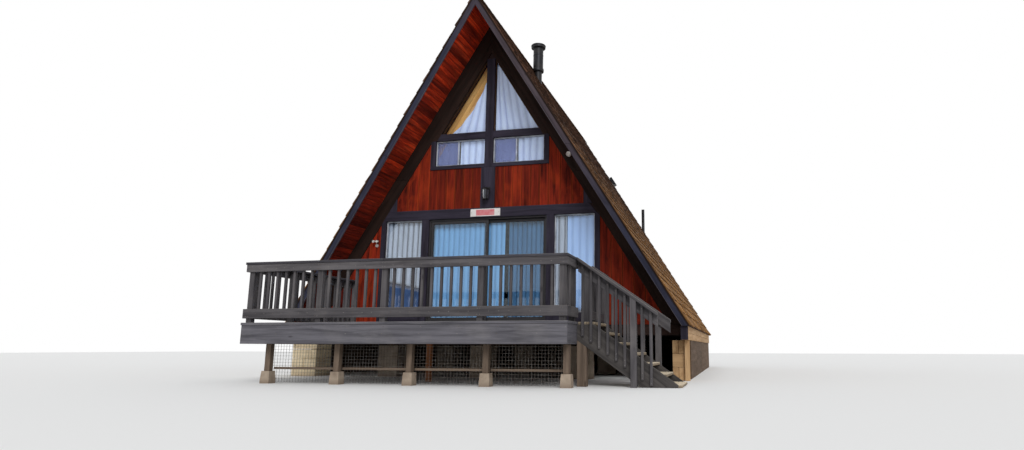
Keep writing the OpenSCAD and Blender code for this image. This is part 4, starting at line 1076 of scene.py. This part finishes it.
one_shake = shaped("shake", [(-.5, -1, 0), (.5, -1, 0), (.5, 0, 0), (-.5, 0, 0),
                             (-.5, -1, .25), (.5, -1, .25), (.5, 0, 1), (-.5, 0, 1)],
                   [(3, 2, 1, 0), (4, 5, 6, 7), (0, 1, 5, 4), (1, 2, 6, 5), (2, 3, 7, 6), (3, 0, 4, 7)])


def by_height(low, high):
    """A share that grows from one height to the other."""
    return lambda tree, place: spread(tree, part(tree, place, "Z"), low, high)


shakes = timber("cedar shakes", [(84, 58, 44), (40, 30, 26), (120, 92, 66)], 0.5, 0.9, 1.1, 0.004, sheen=0.1,
                second=[(136, 96, 50), (70, 44, 24), (172, 130, 76)], share=by_height(5.0, 0.9))
COURSES, SHAKE_LAP, SHAKE_OUT = 30, 0.035, 0.004
exposure = (CORE_TOP - EAVE_Z) / cosine / COURSES
for side, tag in BOTH_SIDES:
    laid = grow("shakes_" + tag, courses, Shake=one_shake, Courses=COURSES, Across=66, Exposure=exposure,
                Lap=SHAKE_LAP, Thick=SHAKE, Seed=200 + side, Side=float(side), Apex=CORE_TOP,
                Front=PROW_FOOT - SHAKE_OUT, Lean=LEAN, Rear=ROOF_REAR, Finish=shakes)
    settle(laid, "shingle")
bpy.data.objects.remove(one_shake)

# Soffit and ceiling: narrow planed boards nailed on the underside of the roof deck, front to
# back, stained orange-red outside and left golden inside. Lining boards cover the slope just
# inside the triangular windows, made bright golden as painted light on the ceiling there.
ceiling, given = new_steps("ceiling boards", Board="Object", Rows="Int", Pitch="Float", Seed="Int",
                           **SLOPE_INPUTS)
line = node(ceiling, "GeometryNodeMeshLine", {"mode": "OFFSET"}, Count=given["Rows"],
            Offset=joined(ceiling, y=given["Pitch"])).outputs[0]
board = node(ceiling, "GeometryNodeObjectInfo", Object=given["Board"]).outputs["Geometry"]
laid = grain_down(ceiling, realised(ceiling, set_on(ceiling, line, board), given["Seed"]), "XYZ")
finished(ceiling, on_slope(ceiling, laid, given), given["Finish"])
SOFFIT_PITCH, SOFFIT_GAP = 0.1, 0.008
soffit_wood = timber("stained soffit boards", [(236, 70, 26), (140, 34, 16), (255, 140, 84)], 0.6, 0.9, 1.0,
                     rim=(70, 16, 10), rimming=0.7, second=[(150, 42, 20), (84, 18, 10), (196, 88, 52)],
                     share=by_height(4.6, 3.0))
golden_wood = timber("golden ceiling boards", [(150, 104, 58), (104, 64, 32), (176, 132, 80)], 0.1, 0.7, 0.4)
rows = int((SOFFIT - EAVE_Z) / cosine / SOFFIT_PITCH)
for name, y0, y1, finish, slot in (("soffit", -1.1, 0.02, soffit_wood, "siding_red"),
                                   ("ceiling", 0.12, 7.98, golden_wood, "timber_tan")):
    for side, tag in BOTH_SIDES:
        strip = plank((y0, 0.001, 0), (y1, SOFFIT_PITCH - SOFFIT_GAP, SOFFIT_THICK))
        template = build_boards("strip", [strip], finish, 0, 0.002)
        laid = grow(f"{name}_boards_{tag}", ceiling, Board=template, Rows=rows, Pitch=SOFFIT_PITCH,
                    Seed=300 + side, Side=float(side), Apex=SOFFIT, Front=PROW_FOOT + BARGE, Lean=LEAN,
                    Rear=9.0, Finish=finish)
        bpy.data.objects.remove(template)
        settle(laid, slot)
LINING_Y, LINING, LINING_IN = 0.128, 0.014, 0.02
lining = []
for side in (-1, 1):
    for outer, inner in ((RAKE_IN + 0.1, RAKE_IN - 0.19), (RAKE_IN - 0.194, RAKE_IN - 0.48)):
        ring = [(slope_point(apex, SLIDER_Z0, side), SLIDER_Z0) for apex in (outer, inner)]
        ring += [(side * LINING_IN, apex - LINING_IN * slope) for apex in (inner, outer)]
        lining.append(flat(ring, LINING_Y, LINING, down_slope(side)))
# Painted light: the lining is far paler than the ceiling boards, standing for light on the ceiling.
lining_painted_light = timber("lining boards with painted light", [(236, 178, 104), (176, 116, 60), (250, 214, 150)],
                       0.5, 0.8, 0.4)
lay("lining_boards", lining, lining_painted_light, 113, "timber_tan", edge=0.002)


# Barge boards: wide planks nailed along the leaning front edges and the rear edges, charcoal
# stain under a thin drip board, with painted sunlight making it brownish high up on the right and
# painted shade making it bluish low down.
def painted_sun_share(tree, place):
    # Painted sunlight: the share of the brownish tones, high up and to the right; the bluish tones elsewhere
    # are painted shade.
    high_up = spread(tree, part(tree, place, "Z"), 2.6, 4.6)
    right_side = spread(tree, part(tree, place, "X"), -0.6, 0.4)
    return times(tree, high_up, right_side)


barge_wood = timber("barge boards", [(48, 49, 66), (28, 28, 38), (80, 82, 100)], 0.7, 0.8, 0.25,
                    rim=(118, 112, 118), rimming=0.6, sheen=0.15,
                    second=[(76, 66, 72), (48, 42, 46), (112, 102, 104)], share=painted_sun_share)
BARGE_WIDE, BARGE_SEAM, DRIP_WIDE, DRIP, DRIP_PROUD = 0.151, 4.2, 0.028, 0.010, 0.008
BARGE_UNDER, DRIP_UNDER = RIDGE - BARGE_WIDE / sine, CORE_TOP - DRIP_WIDE / sine
barges, drips = [], []
for side in (-1, 1):
    for z0, z1 in ((EAVE_Z, BARGE_SEAM), (BARGE_SEAM + 0.003, None)):
        ring = sloped_ring(side, CORE_TOP, BARGE_UNDER, z0, z1)
        for face in (leaning(ring, 0.001), [(x, ROOF_REAR - BARGE, z) for x, z in ring]):
            barges.append((face, (0, BARGE - 0.001, 0), down_slope(side)))
    ring = sloped_ring(side, CORE_TOP, DRIP_UNDER, EAVE_Z, None)
    drips.append((leaning(ring, -DRIP_PROUD), (0, DRIP, 0), down_slope(side)))
lay("barge_boards", barges, barge_wood, 111, "timber_dark", "barges", edge=0.003)
lay("drip_boards", drips, dark_trim, 112, "timber_dark", edge=0.002)

# Ridge: pairs of cedar boards mitred over the top courses of shakes and nailed through them,
# each pair lapping the next by less than a hand.
CAP_STEP, CAP_LONG, CAP_START, CAP_DROP, CAP_OVER, CAP_DEEP = 0.24, 0.30, -1.2, 0.010, 0.014, 0.03
WING, WING_EDGE = 0.15, (0.02, 0.006)
cap_apex, low_z = RIDGE + CAP_OVER / sine, RIDGE - WING * cosine
wing_out = slope_point(cap_apex, low_z, 1)
under_x, under_z = wing_out - WING_EDGE[0], low_z - WING_EDGE[1]
section = [(-wing_out, low_z), (0, cap_apex), (wing_out, low_z), (under_x, under_z),
           (0, cap_apex - CAP_DEEP), (-under_x, under_z)]
verts = [(x, 0, z) for x, z in section] + [(x, CAP_LONG, z - CAP_DROP) for x, z in section]
quads = [(5, 0, 1, 4), (4, 1, 2, 3), (10, 7, 6, 11), (9, 8, 7, 10)]
quads += [((i + 1) % 6, i, i + 6, (i + 1) % 6 + 6) for i in range(6)]
template = shaped("cap", verts, quads)
template.data.attributes.new("grain", "FLOAT_VECTOR", "POINT").data.foreach_set(
    "vector", [c for x, y, z in verts for c in (y, x, z)])
cap_count = int((ROOF_REAR - CAP_LONG - CAP_START) / CAP_STEP) + 1
spots = [(0, CAP_START + i * CAP_STEP, 0) for i in range(cap_count)]
settle(set_pieces("ridge_boards", template, spots, shakes, 121, front=PROW_FOOT - SHAKE_OUT, lean=LEAN),
       "shingle", "ridge_cap")

# Chimney: black insulated steel pipe with a flat storm lid on a ring, and a collar low down where
# it steps in to the narrower pipe that comes out of the shakes.
black_steel = worn_metal("black stove steel", (30, 31, 36), (52, 50, 50), 0.75, 0.34)
FLUE = Vector((0.21, 2.5, 0))
flue_base = RIDGE - (FLUE.x + 0.12) * slope - 0.06
collar, lid = RIDGE - 0.211, RIDGE + 0.400
profile = [(0.094, flue_base)]
profile += [(r, collar + h) for r, h in ((0.094, 0), (0.136, 0.004), (0.138, 0.012), (0.138, 0.070),
                                         (0.134, 0.078), (0.12, 0.080))]
profile += [(r, lid + h) for r, h in ((0.12, -0.20), (0.124, -0.195), (0.124, -0.175), (0.12, -0.170),
                                      (0.12, 0), (0.168, 0.002), (0.1727, 0.008), (0.1727, 0.044),
                                      (0.178, 0.048), (0.178, 0.070), (0.172, 0.078))]
settle(lathe("chimney_pipe", profile, black_steel, FLUE), "black_metal", "chimney")
paint_node(black_steel, "vents")


# Curtains: pleated light cotton, hung from their heads inside the glass, with painted shade in the
# fold valleys. Those in the triangles are cut to the slope, the tall windows have short ones and
# full drapes hang behind the door. The upper curtains carry painted sky light and the right
# drape painted shade.
def threads(tree, way, scale, kind, *axes):
    """Two sets of threads across each other."""
    both = [node(tree, "ShaderNodeTexWave", {"bands_direction": axis}, Vector=way, Scale=scale).outputs[1]
            for axis in axes]
    return maths(tree, kind, *both)


def woven(name, light, dull, line, painted_fold_shade=0.5):
    made, tree, shader = new_finish(name, Roughness=0.95, Sheen_Weight=0.3)[:3]
    way = own(tree, "weave", "Vector")
    thread = threads(tree, way, 260.0, "MULTIPLY", "X", "Y")
    soil = spread(tree, noise(tree, way, 2.5, 5.0), 0.35, 0.75, 0.0, 0.6)
    line = tint(*line)
    colour = mixed(tree, soil, tint(*light), tint(*dull))
    colour = mixed(tree, spread(tree, thread, 0.0, 1.0, 0.12, 0.0), colour, line)
    # Painted shade: the fold valleys, from the third weave value, darken towards the line colour.
    colour = mixed(tree, spread(tree, part(tree, way, "Z"), 0.35, 1.0, 0.0, painted_fold_shade), colour, line)
    fill(tree, shader, thread, 0.0006, 0.5, Base_Color=colour)
    return made


def line_of(*points):
    """A way along given X and Z points, 0 at the first and 1 at the last, by X."""
    def at(s):
        x = points[0][0] + (points[-1][0] - points[0][0]) * s
        for (xa, za), (xb, zb) in zip(points, points[1:]):
            if xa <= x <= xb:
                return x, za + (zb - za) * (x - xa) / (xb - xa)
        return points[-1]
    return at


def hang(name, finish, x0, x1, feet, head, folds, depth, y, seed, fan=0.0, nodes=()):
    """A pleated sheet between its foot and its head, a height or a line over the way across."""
    low_edge = line_of((x0, feet[0]), (x1, feet[1]))
    high_edge = head if callable(head) else line_of((x0, head), (x1, head))
    draw = random.Random(seed)
    beat = [draw.uniform(0.6, 1.3) for _ in range(folds + 2)]
    lag = draw.uniform(0, 6)
    columns, rows = 14 * folds, 24
    verts, faces, weave = [], [], []
    for j in range(rows + 1):
        t = j / rows
        for i in range(columns + 1):
            s = i / columns
            (xa, za), (xb, zb) = low_edge(s), high_edge(s)
            x, z = xa + (xb - xa) * t, za + (zb - za) * t
            phase = s * folds * 2 * math.pi + lag + 0.5 * math.sin(3.1 * s + 2.0 * t)
            tall = depth * (1 - fan * t) * beat[int(s * folds)] * (0.75 + 0.25 * math.sin(2.3 * t + 4 * s))
            valley = 0.5 + 0.5 * math.sin(phase)
            verts.append((x + 0.25 * tall * math.cos(phase), y + tall * valley ** 1.3, z))
            # The third value is how far back the fold lies, and sets the painted shade in the valleys.
            weave.extend((s * 1.3, t * 1.5, valley))
            if i and j:
                a = len(verts) - 1
                faces.append((a - columns - 2, a - columns - 1, a, a - 1))
    made = shaped(name, verts, faces, finish)
    made.data.attributes.new("weave", "FLOAT_VECTOR", "POINT").data.foreach_set("vector", weave)
    for face in made.data.polygons:
        face.use_smooth = True
    tall = max(v[2] for v in verts) - min(v[2] for v in verts)
    cloth = made.modifiers.new("cloth thickness", "SOLIDIFY")
    cloth.thickness, cloth.offset = 0.0012, 0.0
    settle(made, "cloth", *nodes)


cotton = woven("curtain cotton", (236, 238, 248), (206, 206, 224), (110, 112, 134), 0.4)
plain_cotton = woven("plain lavender cotton", (156, 158, 204), (130, 130, 180), (92, 92, 132), 0.3)
# A bluish white copy of the cotton for the upper curtains, as painted sky light.
cotton_painted_sky_light = woven("cotton with painted sky light", (224, 234, 255), (196, 208, 246), (136, 144, 182), 0.55)
beige_cotton = woven("beige cotton", (200, 206, 216), (158, 164, 174), (66, 66, 72), 0.85)
pale_cotton = woven("pale blue cotton", (186, 216, 255), (158, 190, 240), (96, 122, 170), 0.35)
# A darker copy of the cotton for the right door drape, as painted shade.
cotton_painted_shade = woven("cotton with painted shade", (144, 154, 170), (108, 116, 130), (52, 58, 70), 0.6)
blue_cloth = woven("blue blind cloth", (70, 98, 142), (44, 66, 104), (30, 40, 66))
left_head = line_of((-0.83, 4.87), (-0.65, 5.04), (-0.477, 5.247), (-0.27, 5.597), (-0.10, 5.99))
right_head = line_of((0.10, 6.33), (1.02, 4.87))
plain_head = line_of((-1.115, 4.36), (-0.93, 4.68), (-0.69, 4.68))
CURTAIN_Y, BLIND_Y, DRAPE_Y, SHADED_Y = 0.072, 0.142, 0.125, 0.155
TRI_FEET, SLIDER_FEET, TALL_FEET, DRAPE_FEET = (4.85, 4.85), (4.175, 4.175), (1.24, 1.24), (1.0, 1.0)
SLIDER_HEAD, TALL_HEAD, DRAPE_HEAD = 4.68, 3.04, 3.03
hang("curtain_tri_left", cotton_painted_sky_light, -0.83, -0.10, TRI_FEET, lambda s: left_head(1 - (1 - s) ** 1.8),
     4, 0.05, CURTAIN_Y, 1, 0.3, ["curtains_upper"])
hang("curtain_tri_right", cotton_painted_sky_light, 0.10, 1.02, TRI_FEET, lambda s: right_head(s ** 1.8),
     6, 0.05, CURTAIN_Y, 2, 0.6)
hang("curtain_slider_left", cotton_painted_sky_light, -0.645, -0.10, SLIDER_FEET, SLIDER_HEAD, 4, 0.03, CURTAIN_Y, 4)
hang("curtain_slider_right", cotton_painted_sky_light, 0.59, 1.13, SLIDER_FEET, SLIDER_HEAD, 4, 0.03, CURTAIN_Y, 6)
hang("curtain_tall_left", beige_cotton, -2.15, -1.385, (1.86, 1.70), TALL_HEAD, 7, 0.05, CURTAIN_Y, 17,
     nodes=["curtains_lower"])
hang("blind_tall_left", blue_cloth, -2.15, -1.385, (1.21, 1.21), 2.0, 3, 0.01, BLIND_Y, 15)
hang("curtain_tall_fold", beige_cotton, 1.385, 1.60, TALL_FEET, TALL_HEAD, 2, 0.05, CURTAIN_Y, 17)
hang("curtain_tall_right", pale_cotton, 1.61, 2.15, TALL_FEET, TALL_HEAD, 4, 0.016, CURTAIN_Y, 18)
hang("curtain_plain_left", plain_cotton, -1.115, -0.69, SLIDER_FEET, plain_head, 3, 0.008, CURTAIN_Y, 21)
hang("curtain_plain_right", plain_cotton, 0.115, 0.55, SLIDER_FEET, SLIDER_HEAD, 3, 0.008, CURTAIN_Y, 22)
hang("drape_door_left", cotton, -1.21, 0.33, DRAPE_FEET, DRAPE_HEAD, 14, 0.045, DRAPE_Y, 13)
hang("drape_door_right", cotton_painted_shade, 0.41, 1.15, DRAPE_FEET, DRAPE_HEAD, 8, 0.045, SHADED_Y, 14)

# Insect screens: grey woven mesh stretched behind the frame in the left half of each sliding
# window, fine enough to let the curtain behind it show through.
screen, tree, shader, place = new_finish("insect mesh", Roughness=0.8)
thread = threads(tree, place, 90.0, "MAXIMUM", "X", "Z")
grey = mixed(tree, noise(tree, place, 3.0, 3.0), tint(112, 126, 176), tint(142, 158, 208))
fill(tree, shader, Base_Color=grey, Alpha=spread(tree, thread, 0.3, 0.9, 0.05, 0.45))
for x0, x1, tag in ((-1.112, -0.688, "left"), (0.118, 0.545, "right")):
    lay("screen_" + tag, [plank((x0, 0.018, 4.196), (x1, 0.020, 4.656))], screen, 0, "wire", edge=0)

# Lantern on the king post: a six-sided glass between black bars under a pointed roof, on a
# bracket and back plate; the lamp inside is off, and the left panes carry a painted highlight.
LAMP_R, LAMP_H, LAMP_Z = 0.08, 0.20, HEAD + 0.334
lamp_at = Vector((0, -TRIM - LAMP_R - 0.008, LAMP_Z))
iron = worn_metal("black lantern iron", (24, 24, 27), (48, 44, 42), 0.6, 0.38)
frosted, tree, shader, place = new_finish("lantern glass", Roughness=0.25, IOR=1.45, Transmission_Weight=0.15)
# Painted highlight: near white on the left-hand panes, dark mottled glass elsewhere.
painted_highlight = spread(tree, part(tree, place, "X"), -0.03, -0.01, 1.0, 0.0)
clouded = mixed(tree, noise(tree, place, 14.0), tint(34, 36, 42), tint(74, 78, 86))
fill(tree, shader, Base_Color=mixed(tree, painted_highlight, clouded, tint(232, 236, 240)))


def hexagon(radius, z):
    return [lamp_at + Vector((radius * math.cos(i * math.pi / 3), radius * math.sin(i * math.pi / 3), z))
            for i in range(6)]


def bar(a, b, size):
    """A thin square bar between two points."""
    way = (b - a).normalized()
    side = way.cross(Vector((0, 1, 0)))
    side = (side if side.length > 0.1 else way.cross(Vector((1, 0, 0)))).normalized() * size / 2
    deep = way.cross(side).normalized() * size
    return [a - side - deep / 2, a + side - deep / 2, b + side - deep / 2, b - side - deep / 2], deep, way


low_ring, top_ring = hexagon(0.7 * LAMP_R, 0.012), hexagon(LAMP_R, LAMP_H)
panes, bars = [], [bar(a, b, 0.010) for a, b in zip(low_ring, top_ring)]
for i in range(6):
    k = (i + 1) % 6
    corners = (low_ring[i], low_ring[k], top_ring[k], top_ring[i])
    outward = (low_ring[i] + low_ring[k] - 2 * lamp_at).normalized()
    panes.append(([p + (lamp_at - p) * 0.04 for p in corners], 0.002 * outward, PLUMB))
lay("lantern_glass", panes, frosted, 0, "lamp_white", edge=0)
bars += [bar(ring[i], ring[(i + 1) % 6], 0.011) for ring in (low_ring, top_ring) for i in range(6)]
bars += [plank((-0.06, -TRIM - 0.012, LAMP_Z + 0.14), (0.06, -TRIM, LAMP_Z + 0.27), "z"),
         plank((-0.011, lamp_at.y, LAMP_Z + 0.205), (0.011, -TRIM - 0.01, LAMP_Z + 0.225), "y")]
lay("lantern_bars", bars, iron, 0, "black_metal", "lantern", edge=0.0015)
for name, profile in (("hood", [(0.6, LAMP_H), (1.12, LAMP_H + 0.002), (1.12, LAMP_H + 0.008),
                                (0.5, LAMP_H + 0.042), (0.2, LAMP_H + 0.052), (0.12, LAMP_H + 0.056)]),
                      ("base", [(0.2, 0.0), (0.72, 0.006), (0.72, 0.016), (0.3, 0.018)])):
    ring = [(share * LAMP_R, h) for share, h in profile]
    settle(lathe("lantern_" + name, ring, iron, lamp_at, 6), "black_metal")

# Floodlights: two white bullet lamps on one round plate at the left, held by a short arm, and
# a larger single one at the right; all are painted metal, screwed to the boards.
lamp_paint = worn_metal("white lamp paint", (222, 222, 218), (188, 184, 176), 0.0, 0.3)
FLOOD, BULLET_X = Vector((-2.348, -BOARD_OUT, 2.579)), 0.028
rose = [(0.034, 0.0), (0.034, 0.008), (0.030, 0.014), (0.012, 0.018), (0.010, 0.020)]
bullet = [(0.010, -0.008), (0.017, 0.0), (0.019, 0.04), (0.025, 0.066), (0.026, 0.078), (0.024, 0.082),
          (0.022, 0.078), (0.008, 0.074)]
single = [(0.036, 0.0), (0.036, 0.012), (0.028, 0.018), (0.030, 0.03), (0.040, 0.07), (0.048, 0.084),
          (0.046, 0.09), (0.040, 0.086), (0.012, 0.080)]
arms = [plank(FLOOD + Vector(a), FLOOD + Vector(b), along)
        for a, b, along in (((-0.007, -0.026, 0), (0.007, -0.016, 0.086), "z"),
                            ((-BULLET_X, -0.026, 0.08), (BULLET_X, -0.016, 0.092), "x"))]
facing = Matrix.Rotation(math.radians(90), 3, "X")
pieces = [lathe("flood_rose_0", rose, lamp_paint, FLOOD, 24, facing),
          build_boards("flood_arm_1", arms, lamp_paint, 0, 0.002)]
for number, way in ((2, -1), (3, 1)):
    aim = Matrix.Rotation(way * 0.16, 3, "Z") @ Matrix.Rotation(math.radians(98), 3, "X")
    seat = FLOOD + Vector((way * BULLET_X, -0.018, 0.086))
    pieces.append(lathe(f"flood_lamp_{number}", bullet, lamp_paint, seat, 24, aim))
pieces.append(lathe("flood_single_4", single, lamp_paint, (1.66, -TRIM, 4.224), 24, facing))
for piece in pieces:
    settle(piece, "lamp_white", *(["floodlights"] if piece is pieces[0] else []))

# Plate over the door: enamelled sheet with rolled edges on a backing board, its middle a plain
# faded red field, held by a screw at each end.
low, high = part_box("plate")
PLATE_HIGH, SCREW_IN = 0.15, 0.025
high.z = low.z + PLATE_HIGH
middle_x, middle_z = (low.x + high.x) / 2, (low.z + high.z) / 2
enamel, tree, shader, place = new_finish("enamelled plate", Roughness=0.4)
field = 1.0
for axis, middle, inner, outer in (("X", middle_x, 0.185, 0.195), ("Z", middle_z, 0.055, 0.062)):
    away = maths(tree, "ABSOLUTE", plus(tree, part(tree, place, axis), -middle))
    field = times(tree, spread(tree, away, inner, outer, 1.0, 0.0), field)
fade = noise(tree, place, 9.0, 6.0)
field = times(tree, field, spread(tree, fade, 0.3, 0.7, 0.95, 0.6))
white = mixed(tree, fade, tint(226, 224, 222), tint(206, 200, 196))
fill(tree, shader, Base_Color=mixed(tree, field, white, tint(196, 62, 78)))
lay("door_plate", [plank(low, high)], enamel, 0, "plate_face", "plate")
nails("plate_screws", [(x, low.y, middle_z) for x in (low.x + SCREW_IN, high.x - SCREW_IN)], 9)
